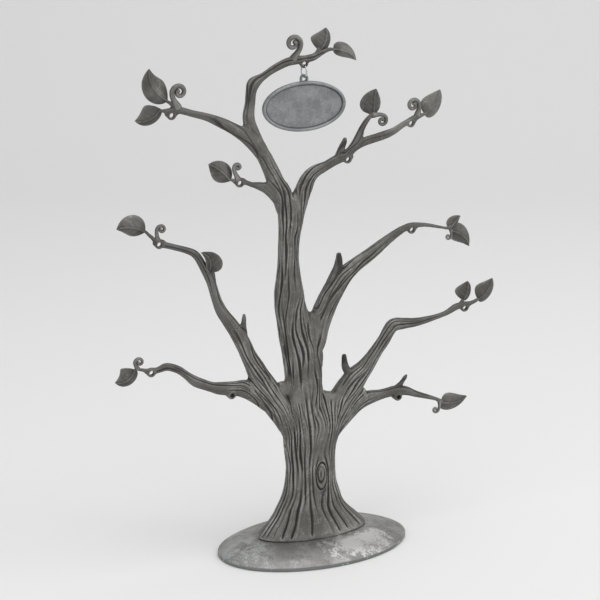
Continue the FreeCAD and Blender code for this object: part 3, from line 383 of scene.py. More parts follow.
# %% Balls and drums
def ball(centre, halves, turns=20, levels=12):
    """Points and faces of an ellipsoid, for the webs in the crotches."""
    points = [centre - np.array([0, 0, halves[2]])]
    for level in range(1, levels):
        low = math.pi * level / levels
        for turn in range(turns):
            a = 2 * math.pi * turn / turns
            points.append(centre + np.array(halves) * np.array(
                [math.sin(low) * math.cos(a), math.sin(low) * math.sin(a), -math.cos(low)]))
    points.append(centre + np.array([0, 0, halves[2]]))
    top = len(points) - 1
    faces = bands(levels - 1, turns, first=1)
    for turn in range(turns):
        after = (turn + 1) % turns
        faces += [(0, 1 + after, 1 + turn), (top, top - turns + turn, top - turns + after)]
    return np.array(points), faces


def upright_drum(centre, radius, thickness, sides=40, soft=0.0):
    """Points and faces of a short drum that lies along Y, with softened edges."""
    profile = [(radius - soft, -thickness / 2), (radius, -thickness / 2 + soft),
               (radius, thickness / 2 - soft), (radius - soft, thickness / 2)]
    angle = np.linspace(0, 2 * math.pi, sides, endpoint=False)
    points = [centre + np.array([r * math.cos(a), y, r * math.sin(a)]) for r, y in profile for a in angle]
    ends = [tuple(range(sides)), tuple(range(4 * sides - 1, 3 * sides - 1, -1))]
    return np.array(points), bands(4, sides, turned=True) + ends


print("faces of a plain drum:", len(upright_drum(np.zeros(3), HOLE_RADIUS, MM)[1]))

# %% [markdown]
# ## One skin for the whole tree
#
# The limbs run into each other, and on the real castings the metal flows from one to the next.
# Booleans would leave sharp creases there. A voxel remesh makes one even skin over all the
# overlapping tubes, and a little smoothing turns the creases into fillets. The hanging holes are
# drilled last, and a second remesh softens their edges too.
#
# Much of the work on a mesh is quicker on all its points at once, so a few helpers hand them to
# numpy as tables and take them back.

# %% Tables to and from a mesh
def read_all(items, key, kind, width):
    """One value of each item of a mesh, as rows of that width."""
    flat = np.empty(len(items) * width, kind)
    items.foreach_get(key, flat)
    return flat.reshape(-1, width)


def points_of(mesh):
    """All vertices of a mesh as rows of three."""
    return read_all(mesh.vertices, "co", np.float32, 3).astype(float)


def normals_of(mesh):
    """All vertex normals of a mesh as rows of three."""
    return read_all(mesh.vertex_normals, "vector", np.float32, 3).astype(float)


def links_of(mesh):
    """Pairs of neighbouring vertices."""
    return read_all(mesh.edges, "vertices", np.int32, 2)


def move_points(mesh, points):
    """Puts all vertices of a mesh in new places."""
    mesh.vertices.foreach_set("co", points.astype(np.float32).ravel())
    mesh.update()


def keep_value(mesh, name, values):
    """Keeps one number for each vertex as an attribute, which materials can read."""
    layer = mesh.attributes.new(name, "FLOAT", "POINT")
    layer.data.foreach_set("value", values.astype(np.float32))


def smooth_shaded(mesh):
    """Shades a mesh smoothly all over."""
    mesh.polygons.foreach_set("use_smooth", [True] * len(mesh.polygons))
    mesh.update()


packed_trunk = frame["nodes"]["trunk"].data
print("packed trunk:", len(points_of(packed_trunk)), "points,", len(links_of(packed_trunk)), "links")

# %% [markdown]
# Two ways of smoothing are needed. Modifiers do it for a whole object: a voxel remesh, and then
# a Smooth modifier. The other averages any value over neighbouring points, a few rounds at a
# time, and later serves for places, lane numbers and hollows alike.

# %% Two ways of smoothing
def spread_mean(values, links, rounds):
    """Averages values over neighbouring points, a few rounds."""
    table = values.reshape(len(values), -1)
    count = np.maximum(np.bincount(links.ravel(), minlength=len(table)), 1)
    for _ in range(rounds):
        total = np.zeros_like(table)
        for column in range(table.shape[1]):
            total[:, column] += np.bincount(links[:, 0], table[links[:, 1], column], len(table))
            total[:, column] += np.bincount(links[:, 1], table[links[:, 0], column], len(table))
        table = 0.5 * table + 0.5 * total / count[:, None]
    return table.reshape(values.shape)


def settled(source, name):
    """The mesh that an object's modifiers give, as a new object; the source is removed."""
    bpy.context.view_layer.update()
    graph = bpy.context.evaluated_depsgraph_get()
    mesh = bpy.data.meshes.new_from_object(source.evaluated_get(graph))
    bpy.data.objects.remove(source)
    return in_scene(name, mesh)


def remeshed(source, name, voxel, smoothing):
    """An even skin over an object, with its creases eased."""
    skin = source.modifiers.new("skin", "REMESH")
    skin.mode = "VOXEL"
    skin.voxel_size = voxel
    ease = source.modifiers.new("ease", "SMOOTH")
    ease.factor = 0.5
    ease.iterations = smoothing
    return settled(source, name)


pair = np.array([[0, 1], [1, 2]])
print("one bump on three points, averaged once:", spread_mean(np.array([0.0, 1.0, 0.0]), pair, 1))

# %% [markdown]
# Now all tubes, stubs, lugs and webs go into one mesh, and its skin is remeshed. Lugs on thin
# twigs sit on a small pad of metal, as they do in the photo.

# %% Join the tubes
BLANK_VOXEL = 0.45 * MM
SOFT_LUG = 0.7 * MM
SIDE_LUGS = (3, 5)  # lugs of a thickness between these hang from a thin twig on a pad of metal
PAD_LIFT, PAD_WIDE, PAD_HIGH = 0.9 * MM, 4.4 * MM, 2.4 * MM
blank_parts = [tube(runs["trunk"], sides=96, blunt=0.3, level=True)]
blank_parts += [tube(run) for name, run in runs.items() if name != "trunk"]
blank_parts += [tube(run, sides=20) for name, run in stub_runs]
for name, shares, thickness in LUGS:
    blank_parts.append(upright_drum(place(*shares), LUG_RADIUS, thickness * MM, soft=SOFT_LUG))
    if SIDE_LUGS[0] < thickness < SIDE_LUGS[1]:
        pad = (PAD_WIDE, thickness * MM / 2.4, PAD_HIGH)
        blank_parts.append(ball(place(*shares) + np.array([0, 0, PAD_LIFT]), pad))
for name, shares, halves in WEBS:
    blank_parts.append(ball(place(*shares), [half * MM for half in halves]))
blank = remeshed(mesh_from("tree_blank", blank_parts), "tree_eased", BLANK_VOXEL, 7)
print("tubes, lugs and webs:", len(blank_parts), "points:", len(blank.data.vertices))

# %% [markdown]
# In a crotch the metal sweeps over in a wide U, and smoothing the whole tree that far would eat
# the limbs. So only some spots are smoothed many times over, and there the skin may only move
# outwards: hollows fill and round limbs keep their girth.

# %% Fill the crotches and drill the holes
# Spots to fill: across, up and radius, in mm.
SPOTS = [
    (-22, 111, 13), (12, 98, 13), (-3, 150, 9), (-12, 224, 9), (-41, 112, 9), (34, 99, 9),
    (-19, 74, 17), (21, 76, 17), (-39, 268, 7), (-33, 228, 7), (27, 247, 6), (5, 122, 16), (-47, 120, 8),
]
FILL_ROUNDS = 180


def spot_weight(points, spots):
    """1 inside the round spots of the tree's plane, fading to 0 at their edges."""
    weight = np.zeros(len(points))
    for across, up, radius in spots:
        far = np.hypot(points[:, 0] / MM - across, points[:, 2] / MM - up) / radius
        weight = np.maximum(weight, 1 - smoothstep(0.45, 1, far))
    return weight


def eased(values, links, weight, rounds):
    """Values averaged over and over where the weight isn't zero."""
    near = links[(weight[links] > 0).all(axis=1)]
    used, local = np.unique(near, return_inverse=True)
    local = local.reshape(-1, 2)
    part = values[used]
    share = weight[used][:, None]
    for _ in range(rounds):
        part = part + share * (spread_mean(part, local, 1) - part)
    done = values.copy()
    done[used] = part
    return done


rough_points, rough_normals = points_of(blank.data), normals_of(blank.data)
rough_links = links_of(blank.data)
moved = eased(rough_points, rough_links, spot_weight(rough_points, SPOTS), FILL_ROUNDS) - rough_points
outward = np.maximum(np.einsum("ij,ij->i", moved, rough_normals), 0)
outward = spread_mean(outward, rough_links, 6)
move_points(blank.data, rough_points + rough_normals * outward[:, None])
print("most filled mm:", round(float(outward.max() / MM), 2))
drill = mesh_from("drill", [
    upright_drum(place(*shares), HOLE_RADIUS - 0.05 * MM, BOLE_GIRTH) for name, shares, thickness in LUGS])
bore = blank.modifiers.new("bore", "BOOLEAN")
bore.operation = "DIFFERENCE"
bore.solver = "EXACT"
bore.object = drill
blank = remeshed(blank, "tree_skin", CLOSE, 2)
bpy.data.objects.remove(drill)
print("skin points:", len(blank.data.vertices))

# %% [markdown]
# ## How far round and along is each point?
#
# Bark grooves follow their limb, so every point needs limb coordinates: how far out it lies, how
# far round the limb, and at which station. Each limb's samples are compared with all points at
# once in numpy. Near a crotch a point lies close to two limbs, and it takes a share of both
# barks, so that ridges of one run into ridges of the other.

# %% Limb coordinates
FAR_OFF = 9.0        # how far out a point counts that lies nowhere near a limb
AT_ONCE = 40000      # points compared with a limb's samples in one go
STUB_MARGIN = 1 * MM


def along_limb(points, run, margin=4 * MM, level=False):
    """How far out (1 is the surface), how far round (radians) and at which station."""
    out = np.full(len(points), FAR_OFF)
    turn = np.zeros(len(points))
    station = np.zeros(len(points))
    near = np.ones(len(points), bool)
    for axis, column in ((0, 0), (2, 1)):
        near &= points[:, axis] > run[:, column].min() - run[:, 2].max() - margin
        near &= points[:, axis] < run[:, column].max() + run[:, 2].max() + margin
    chosen = np.flatnonzero(near)
    way = headings(run, level)
    for block in np.array_split(chosen, max(1, len(chosen) // AT_ONCE)):
        if not len(block):
            continue
        dx = points[block, :1] - run[None, :, 0]
        dz = points[block, 2:] - run[None, :, 1]
        ahead = dx * way[:, 0] + dz * way[:, 1]
        aside = (dz * way[:, 0] - dx * way[:, 1]) / run[:, 2]
        back = points[block, 1:2] / run[:, 3]
        far = aside ** 2 + back ** 2 + (ahead / run[:, 2]) ** 2
        best = (np.abs(ahead) if level else far).argmin(axis=1)
        row = np.arange(len(block))
        out[block] = np.sqrt(far[row, best])
        turn[block] = np.arctan2(back[row, best], aside[row, best])
        station[block] = run[best, 4]
    return out, turn, station


skin_points = points_of(blank.data)
x, y, z = skin_points.T
skin_normals = normals_of(blank.data)
edges = links_of(blank.data)
limb_names = list(runs)
coordinates = {
    name: along_limb(skin_points, runs[name], level=name == "trunk") for name in limb_names}
outs = np.stack([coordinates[name][0] for name in limb_names])
closest, least = outs.argmin(axis=0), outs.min(axis=0)
print("points by limb:", {name: int((closest == i).sum()) for i, name in enumerate(limb_names)})

# %% [markdown]
# ## Grooves in the bark
#
# The real bark has long rounded ridges with dark narrow grooves between them, and no two are
# alike. A groove lies wherever the lane number is whole. Where the lanes are wide, more lines
# come in at their halves, and then at their quarters. Lanes are blended where limbs meet, and
# averaged round each crotch, so that the lines flow from one limb into the next. On the bole
# they part round a knot as a stream parts round a stone.

# %% Lane numbers
BOLE_LANES = [(0, 0.0, 16.0)]
KNOT = (2.3 * MM, 47.6 * MM)
KNOT_HALVES = (4.0 * MM, 9.0 * MM)
KNOT_REACH = (1.5, 3.4)            # where the lines begin to close up again, in knots
BLEND = 0.24                       # how far two limbs' barks mix, in half widths
BOLE_TOP = (72 * MM, 92 * MM)      # where the bole's own lanes give way to the limbs'
LEAST_GAP, GAP_SHARE = 1.25 * MM, 0.135  # spacing of the lines, and its growth with the girth
MOST_LINES = 4                     # lines in a lane
LANE_REACH = 9.0 * MM              # how far the lanes are averaged round a crotch
# Round each crotch the lanes are averaged too: across, up and radius, in mm.
LANE_SPOTS = [(-10, 92, 34), (14, 96, 26), (-34, 108, 18), (-4, 135, 22), (-13, 218, 18), (-30, 232, 12)]


def part_round_knot(points):
    """The bole's points moved to where their bark would be without the knot."""
    dx = (points[:, 0] - KNOT[0]) / KNOT_HALVES[0]
    dz = (points[:, 2] - KNOT[1]) / KNOT_HALVES[1]
    far = np.hypot(dx, dz)
    front = points[:, 1] < 0
    push = dx / np.maximum(far, 1) ** 2 * (1 - smoothstep(*KNOT_REACH, far)) * KNOT_HALVES[0]
    moved = points.copy()
    moved[:, 0] -= push * front
    return moved, np.where(front, far, FAR_OFF)


trunk_points, knot_far = part_round_knot(skin_points)
coordinates["trunk"] = along_limb(trunk_points, runs["trunk"], level=True)
lane, pitch, gap_mean, weight_sum = (np.zeros(len(skin_points)) for _ in range(4))
for number, name in enumerate(limb_names):
    out, turn, station = coordinates[name]
    table = np.array(BOLE_LANES if name == "trunk" else LIMBS[name]["lanes"], float)
    low, high = (np.interp(station, table[:, 0], table[:, column]) for column in (1, 2))
    half_width = np.interp(station, runs[name][:, 4], runs[name][:, 2])
    weight = np.exp(-((outs[number] - least) / BLEND) ** 2)
    if name == "trunk":
        weight = weight * (1 - smoothstep(*BOLE_TOP, z)) + 1e-9
    lane += weight * (low + (high - low) * np.abs(turn) / math.pi)
    pitch += weight * math.pi * half_width / (high - low)
    gap_mean += weight * (LEAST_GAP + GAP_SHARE * half_width)
    weight_sum += weight
blended = np.stack([lane, pitch, gap_mean], axis=1) / weight_sum[:, None]
rounds = int((LANE_REACH / CLOSE) ** 2)
lane, pitch, gap_mean = eased(blended, edges, spot_weight(skin_points, LANE_SPOTS), rounds).T
fine = np.clip(pitch / gap_mean, 1, MOST_LINES)
print("lines to a lane:", fine.min().round(2), "to", fine.max().round(2))

# %% [markdown]
# A slow sum of sines bends the lines together. Each line also has a rhythm of its own, drawn
# from seeded random numbers, so that it grows faint and strong again. Where lines would crowd
# together they are left out, and the metal stays smooth as it does at the real forks.

# %% Groove depth
WANDER = 0.38 * MM
WIDEST_GROOVE = 1.35 * MM  # half the breadth of the broadest dark groove
SOFT_VALLEY = 0.46         # depth of the rounding between ridges, of a groove's depth
KINDS = 97                 # how many lines have a rhythm of their own
BACK_SHIFT = 41            # the back's lines take theirs from farther on in the list
WHOLE_SEED, HALF_SEED, QUARTER_SEED = 41, 42, 43
TOO_CLOSE = (1.05, 1.6)    # crowding at which lines begin to go, and are gone


def lines_at(lane, spacing, seed):
    """Groove depth of the lines at a spacing of lanes: 0 on a ridge, 1 in a groove."""
    draw = np.random.default_rng(seed)
    rhythm, start = draw.uniform(0.032, 0.080, KINDS), draw.uniform(0, 2 * math.pi, KINDS)
    offset, deep = draw.uniform(-0.15, 0.15, KINDS), draw.uniform(0.45, 1.15, KINDS)
    broad = 0.21 + 0.22 * deep
    index = np.round(lane)
    which = (index.astype(int) + np.where(y > 0, BACK_SHIFT, 0)) % KINDS
    beat = 2 * math.pi * reach / rhythm[which] + start[which]
    gap = np.abs(lane - index - offset[which] - 0.13 * np.sin(1.7 * beat)) / spacing
    fade = np.clip(0.80 + 0.55 * np.sin(beat), 0.05, 1) * deep[which]
    breadth = broad[which] * (1 + 0.25 * np.sin(2.3 * beat + 1))
    breadth = np.minimum(breadth, WIDEST_GROOVE * fine / pitch)
    valley = SOFT_VALLEY * np.clip(1 - (2 * gap) ** 2, 0, 1)
    return fade * np.maximum(np.clip(1 - (gap / breadth) ** 1.8, 0, 1), valley)


reach = np.hypot(x, z + 0.03)
bend = (np.sin(z / 0.0075 + x / 0.019 + 0.6)
        + 0.7 * np.sin(z / 0.0046 - x / 0.0085 + np.sign(y) + 2.0)
        + 0.45 * np.sin(x / 0.0035 + z / 0.0031 + 4.1))
lane = lane + WANDER * bend / pitch
step = 1 / fine
halves, quarters = np.clip(fine - 1, 0, 1), np.clip(fine / 2 - 1, 0, 1)
groove = lines_at(lane, step, WHOLE_SEED)
groove = np.maximum(groove, halves * lines_at(lane - 0.5, step, HALF_SEED))
groove = np.maximum(groove, quarters * lines_at(2 * lane - 0.5, 2 * step, QUARTER_SEED))
change = np.repeat(np.abs(np.diff(lane[edges], axis=1)[:, 0]), 2)
closeness = np.bincount(edges.ravel(), change, len(lane))
closeness /= np.maximum(np.bincount(edges.ravel(), minlength=len(lane)), 1) * CLOSE
crowded = spread_mean(closeness * fine * gap_mean, edges, 4)
groove *= 1 - smoothstep(*TOO_CLOSE, crowded)
print("lines for each one meant, most of them below", round(float(np.percentile(crowded, 98)), 2))

# %% [markdown]
# Puddles of solder fill the grooves where castings were joined. The knot gets its own rings: an
# outer one, and a smaller one inside that is deeper on its lower left. Lugs, the thinnest twigs
# and the hem of the foot stay plain.

# %% Knot, puddles and plain places
# Solder puddles: across, up, half width and half height, all in mm.
PUDDLES = [
    (-19.5, 104.5, 6.2, 9.6), (-25, 112.5, 4.6, 4.0), (-14.2, 101.5, 5.0, 8.5), (13, 98.5, 7.6, 5.4),
    (-0.8, 144, 3.8, 9.5), (-3, 149, 5.2, 4.2), (-13.0, 219, 3.6, 6.5), (-13.6, 208, 1.3, 6),
    (-41.3, 109, 1.6, 4), (34, 94.2, 1.6, 4),
]
KNOT_EDGE = (1.02, 1.15)         # where the knot ends and the lines begin, in knots
PLAIN_GIRTH = (0.8 * MM, 2.0 * MM)
HEM, HEM_FADE = 0.6 * MM, 3.6 * MM
DEPTH_LEAST, DEPTH_SHARE = 0.20 * MM, 0.068  # a groove's depth, and its growth with the girth
DEPTH_RANGE = (0.22 * MM, 1.25 * MM)
STUB_EDGE = 1.02                 # how near to a stub a point lies, against the nearest limb

dx, dz = (x - KNOT[0]) / KNOT_HALVES[0], (z - KNOT[1]) / KNOT_HALVES[1]
heart = np.hypot((dx + 0.10) / 0.56, (dz - 0.16) / 0.58)
rings = np.exp(-((knot_far - 0.97) / 0.11) ** 2)
rings += np.exp(-((heart - 1) / 0.22) ** 2) * (0.55 - 0.45 * np.clip(dx + dz, -1, 1))
rings += 0.7 * np.exp(-(dx + 0.16) ** 2 / 0.012 - (dz - 0.16) ** 2 / 0.05)
inside = 1 - smoothstep(*KNOT_EDGE, knot_far)
groove = groove * (1 - inside) + np.clip(rings, 0, 1) * inside

puddle = np.zeros(len(skin_points))
rough = 0.05 * np.sin(x * 700 + z * 1100)
for across, up, wide, high in PUDDLES:
    far = np.hypot((x / MM - across) / wide, (z / MM - up) / high)
    puddle = np.maximum(puddle, 1 - smoothstep(0.5, 1.25, far + rough))
girths = [np.interp(coordinates[name][2], runs[name][:, 4], runs[name][:, 2]) for name in limb_names]
girth_here = np.choose(closest, girths)
stub_outs = [along_limb(skin_points, run, STUB_MARGIN)[0] for name, run in stub_runs]
for out, (name, run) in zip(stub_outs, stub_runs):
    girth_here = np.where(out < least * STUB_EDGE, run[:, 2].mean(), girth_here)
hole_centres = [(name, place(*shares)) for name, shares, thickness in LUGS]
from_holes = [np.hypot(x - centre[0], z - centre[2]) for name, centre in hole_centres]
hole_far = np.minimum(1.0, np.min(from_holes, axis=0))
presence = smoothstep(*PLAIN_GIRTH, girth_here) * (1 - 0.9 * puddle)
presence *= smoothstep(LUG_RADIUS * 0.9, LUG_RADIUS * 1.25, hole_far)
hem = HEM * (1 + 0.6 * np.sin(x / (4.1 * MM)) * np.sin(y / (5.3 * MM) + 1))
presence *= smoothstep(0.0, HEM_FADE, z - SEAT_HEIGHT - hem)
groove *= presence
relief = np.clip(DEPTH_SHARE * girth_here + DEPTH_LEAST, *DEPTH_RANGE)
print("mean groove:", round(float(groove.mean()), 3))
print("deepest cut mm:", round(float((relief * groove).max() / MM), 2))

# %% [markdown]
# Now the skin is pushed in along its normals by the grooves' depth, and a little unevenly all
# over, because a wax pattern is never quite smooth. A last light smoothing rounds the ridges.

# %% Carve the bark
LUMP, PIT, SOLDER = 0.10 * MM, 0.025 * MM, 0.06 * MM  # heights of the unevenness
FOOT_EDGE = 0.4 * MM
lumps = np.sin(x / 0.0031 + 2.0) * np.sin(z / 0.0042) * np.cos(y / 0.0036 + 0.5)
pits = np.sin(x / 0.0011) * np.sin(z / 0.0013 + 1.1) * np.sin(y / 0.0009)
keep_shape = smoothstep(LUG_RADIUS * 0.8, LUG_RADIUS * 1.4, hole_far)
push = -relief * groove + keep_shape * (LUMP * lumps + PIT * pits) + puddle * SOLDER
carved = skin_points + skin_normals * push[:, None]
on_seat = z < SEAT_HEIGHT + FOOT_EDGE
carved[:, 2] = np.where(on_seat, np.maximum(carved[:, 2], SEAT_HEIGHT), carved[:, 2])
carved = spread_mean(carved, edges, 1)
move_points(blank.data, carved)
carved_normals = normals_of(blank.data)
hollow = np.einsum("ij,ij->i", spread_mean(carved, edges, 3) - carved, carved_normals) / MM
hollow = spread_mean(hollow, edges, 1)
print("hollow from", hollow.min().round(3), "to", hollow.max().round(3))

# %% [markdown]
# ## Dark grooves and rubbed ridges
#
# Antique pewter is dipped in a dark patina and then rubbed, so hollows stay dark and whatever
# stands proud turns bright. Both come from the shape itself: a point that lies deeper than the
# mean of its neighbours is a hollow, and one that stands out is rubbed. Thin twigs are hard to
# rub, so they stay darker. The two values are kept on the mesh, where the material reads them.

# %% Patina values
HOLLOW_RANGE, RIDGE_RANGE = (0.003, 0.044), (0.002, 0.040)  # in mm, at the fine voxel size
GROOVE_RANGE, GROOVE_SHARE = (0.22, 0.90), 0.85
THIN_RANGE = (1.5 * MM, 5.5 * MM)
THIN_DARK, THIN_DULL = 0.34, 0.55
coarse = CLOSE / FINE_VOXEL
dark = smoothstep(HOLLOW_RANGE[0], HOLLOW_RANGE[1] * coarse, hollow)
dark = np.clip(dark + GROOVE_SHARE * smoothstep(*GROOVE_RANGE, groove), 0, 1)
bright = smoothstep(RIDGE_RANGE[0], RIDGE_RANGE[1] * coarse, -hollow) * (1 - dark)
bright = np.clip(bright + 0.25 * puddle, 0, 1)
thin = 1 - smoothstep(*THIN_RANGE, girth_here)
dark = np.maximum(dark, THIN_DARK * thin)
bright = bright * (1 - THIN_DULL * thin)
print("dark share:", round(float(dark.mean()), 3), "bright share:", round(float(bright.mean()), 3))

# %% [markdown]
# ## Back to separate castings
#
# The skin is cut where the real pieces are soldered, so that each piece stands for its own solid
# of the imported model. A face belongs to the limb that it is nearest to, or to that limb's parent
# if it lies short of the joint. The normals of the whole skin are kept, so that no seam shows,
# and the cut ends are closed.

# %% Share out the faces
STUB_REACH = 1.6  # a point farther out than this belongs to no stub
owner_names = ["trunk"] + list(LIMBS)
owner = np.zeros(len(skin_points), int)
for number, name in enumerate(limb_names):
    if name == "trunk":
        continue
    mine = closest == number
    beyond = coordinates[name][2] >= LIMBS[name]["joint"]
    owner[mine & beyond] = owner_names.index(name)
    owner[mine & ~beyond] = owner_names.index(LIMBS[name]["parent"])
for out, (name, run) in zip(stub_outs, stub_runs):
    owner[(out < least * STUB_EDGE) & (out < STUB_REACH)] = owner_names.index(name)
for far, (name, centre) in zip(from_holes, hole_centres):
    owner[far < LUG_RADIUS * 1.1] = owner_names.index(name)
quads = read_all(blank.data.loops, "vertex_index", np.int32, 1).reshape(-1, 4)
face_owner = np.sort(owner[quads], axis=1)[:, 1]
print("faces by casting:", {name: int((face_owner == i).sum()) for i, name in enumerate(owner_names)})

# %% [markdown]
# ## Leaves
#
# Each leaf is a thin cast plate with a raised midrib, side veins and a drawn-out tip. It is made
# as a grid: one direction runs along the midrib from heel to tip, the other across. The two
# halves fold back from the midrib like a roof, or forward like a cup. Half widths are given for
# each side, because most leaves are turned a little and one half looks narrower.

# %% Table of the leaves
LEAF_THICKNESS = 1.0 * MM
VEINS, VEIN_SLANT = 4.6, 0.34
TIP_HOOK = -4.0
MIDRIB_HALF, VEIN_HALF = 0.42 * MM, 0.26 * MM
FRONT_RISE = (0.36 * MM, 0.12 * MM)  # of the midrib and of a vein
BACK_RISE = (0.16 * MM, 0.08 * MM)
RIM_ROLL = 0.22 * MM
# Casting, heel, tip, left half, right half, bow, fold and the sway of the tip: places are x and z
# in mm, halves and bow are shares of the leaf's length, and fold is in degrees, forward if below 0.
LEAVES = [
    ("crown_branch", (3.7, 307.4), (8.6, 320.2), 0.50, 0.36, -0.10, 34, 0.6),
    ("crown_branch", (12.8, 307.7), (27.6, 300.6), 0.28, 0.23, 0.10, 34, 0.4),
    ("upper_left_branch", (-90.0, 285.6), (-101.0, 303.8), 0.28, 0.37, 0.14, 34, 0.5),
    ("upper_left_branch", (-94.0, 281.4), (-109.0, 274.8), 0.25, 0.41, 0.14, 32, 0.4),
    ("left_twig", (-52.6, 235.9), (-65.2, 246.8), 0.37, 0.36, -0.06, 30, 0.5),
    ("left_limb", (-105.2, 211.2), (-121.6, 214.6), 0.33, 0.40, -0.10, 32, 0.5),
    ("left_limb", (-66.4, 183.4), (-70.2, 195.2), 0.30, 0.48, -0.20, -34, 0.3),
    ("lower_left_branch", (-113.2, 129.6), (-124.8, 122.2), 0.35, 0.46, 0.18, 30, 0.4),
    ("right_upper_limb", (91.9, 191.8), (98.6, 199.4), 0.36, 0.38, 0.06, 30, 0.3),
    ("right_upper_limb", (92.8, 190.4), (105.6, 180.0), 0.36, 0.33, 0.12, 34, 0.4),
    ("right_lower_limb", (102.0, 145.0), (105.4, 156.8), 0.48, 0.38, -0.06, 32, 0.4),
    ("right_lower_limb", (112.4, 144.4), (122.8, 156.4), 0.38, 0.38, -0.10, 30, 0.4),
    ("lower_right_branch", (88.2, 80.2), (106.4, 81.0), 0.30, 0.33, -0.10, 34, 0.5),
    ("upper_right_branch", (39.0, 267.2), (40.6, 282.2), 0.46, 0.42, 0.04, 32, 0.4),
    ("right_spray", (72.8, 264.6), (83.4, 278.2), 0.34, 0.46, -0.08, 34, 0.4),
]
lengths = [math.dist(heel, tip) for name, heel, tip, *rest in LEAVES]
print("leaves:", len(LEAVES), "from", round(min(lengths), 1), "to", round(max(lengths), 1), "mm long")

# %% [markdown]
# The outline comes from one curve: it starts round at the heel and runs out thin at the tip. The
# midrib and the veins raise the front, and a little of the back. Patina stays beside the midrib
# and near the heel, and the midrib, the veins and the rim are rubbed.

# %% Leaf grid
def leaf(heel, tip, left, right, bow, fold, sway, grid=(44, 22)):
    """Points, faces, dark and bright shares of one leaf."""
    start, end = np.array(heel) * MM, np.array(tip) * MM
    long = np.linalg.norm(end - start)
    way = (end - start) / long
    side = np.array([-way[1], way[0]])
    u = np.linspace(0, 1, grid[0] + 1)[:, None]
    v = np.linspace(-1, 1, grid[1] + 1)[None, :]
    shape = u ** 0.50 * (1 - u) ** 0.86
    shape = np.maximum(shape / shape.max(), 0.03)
    middle = start + way * (u * long) + side * (4 * u * (1 - u) * bow * long)
    middle = middle + side * (TIP_HOOK * bow * long * np.maximum(u - 0.72, 0) ** 2)
    tangent = way + side * ((4 - 8 * u) * bow)
    tangent /= np.linalg.norm(tangent, axis=1)[:, None]
    square = np.stack([-tangent[:, 1], tangent[:, 0]], axis=1)
    half = np.where(v > 0, left, right) * long * shape
    reach = v * half
    x = middle[:, :1] + square[:, :1] * reach
    z = middle[:, 1:] + square[:, 1:] * reach
    rise = np.abs(reach) * math.tan(math.radians(abs(fold)))
    curve = rise * (0.75 + 0.35 * np.abs(v)) * (1 if fold > 0 else -1)
    y = curve - sway * MM * np.sin(math.pi * u) + 1.2 * sway * MM * u ** 3
    midrib = np.exp(-(reach / MIDRIB_HALF) ** 2) * (1 - 0.6 * u)
    slant = (u - VEIN_SLANT * np.abs(v) * shape) * VEINS
    from_vein = np.abs(slant - np.round(slant)) * long / VEINS
    vein = np.exp(-(from_vein / VEIN_HALF) ** 2) * smoothstep(0.0, 0.10, np.abs(v))
    vein = vein * (1 - np.abs(v) ** 3) * (slant > 0.3) * (u < 0.93)
    roll = RIM_ROLL * np.abs(v) ** 6
    front = y - LEAF_THICKNESS / 2 - FRONT_RISE[0] * midrib - FRONT_RISE[1] * vein + roll
    behind = y + LEAF_THICKNESS / 2 + BACK_RISE[0] * midrib + BACK_RISE[1] * vein - roll
    outer = np.abs(np.broadcast_to(v, x.shape))
    dark_share = 0.30 * (1 - midrib) * (1 - 0.6 * vein) * (1 - outer ** 5)
    dark_share = dark_share + 0.50 * np.exp(-((np.abs(reach) - 0.72 * MM) / (0.3 * MM)) ** 2)
    dark_share = dark_share + 0.25 * smoothstep(0.35, 0.0, u)
    bright_share = midrib + 0.3 * vein + 0.7 * outer ** 10
    rows, columns = x.shape
    total = rows * columns
    points = np.vstack([np.stack([x, layer, z], axis=-1).reshape(-1, 3) for layer in (front, behind)])
    faces = []
    for i in range(rows - 1):
        for j in range(columns - 1):
            a = i * columns + j
            faces.append((a, a + 1, a + columns + 1, a + columns))
            faces.append((total + a, total + a + columns, total + a + columns + 1, total + a + 1))
    rim = list(range(columns)) + [i * columns + columns - 1 for i in range(1, rows)]
    rim += [(rows - 1) * columns + j for j in range(columns - 2, -1, -1)]
    rim += [i * columns for i in range(rows - 2, 0, -1)]
    for a, b in zip(rim, rim[1:] + rim[:1]):
        faces.append((b, a, total + a, total + b))
    dark_share, bright_share = (
        np.clip(np.tile(share.ravel(), 2), 0, 1) for share in (dark_share, bright_share))
    return points, faces, dark_share, bright_share


leaves = {}
for name, *numbers in LEAVES:
    leaves.setdefault(name, []).append(leaf(*numbers))
print("castings with leaves:", sorted(leaves))

# %% [markdown]
# ## Tendrils
#
# A tendril rises from its twig and winds into a coil that narrows towards a small bead. The stem
# is a cubic curve and the coil an Archimedean spiral, so both come from a few numbers instead of
# a list of points. The wire is thickest where it leaves the twig.

# %% Tendril tubes
# Casting, root, coil width, stem reach and wire as shares; turn, sweep in degrees and hand.
CURLS = [
    ("crown_branch", (-0.052, 0.947, 1.26, 0.76, 0.265), 88, 400, 1),
    ("upper_left_branch", (-0.335, 0.877, 1.20, 0.78, 0.275), 84, 392, -1),
    ("left_twig", (-0.190, 0.737, 0.72, 1.05, 0.36), 92, 330, -1),
    ("left_limb", (-0.390, 0.640, 0.78, 0.90, 0.30), 70, 345, -1),
    ("lower_left_branch", (-0.446, 0.404, 0.78, 0.56, 0.29), 75, 345, -1),
    ("right_spray", (0.272, 0.8240, 1.06, 0.70, 0.27), 113, 395, 1),
    ("upper_right_branch", (0.152, 0.8345, 0.90, 0.86, 0.28), -32, 375, -1),
    ("right_upper_limb", (0.369, 0.599, 0.56, 0.85, 0.30), -110, 320, -1),
    ("lower_right_branch", (0.348, 0.2555, 0.64, 1.00, 0.31), -115, 320, -1),
]
CURL_WIDTH = 10 * MM
HEART_SHARE = 0.26  # the coil's last radius, of its first


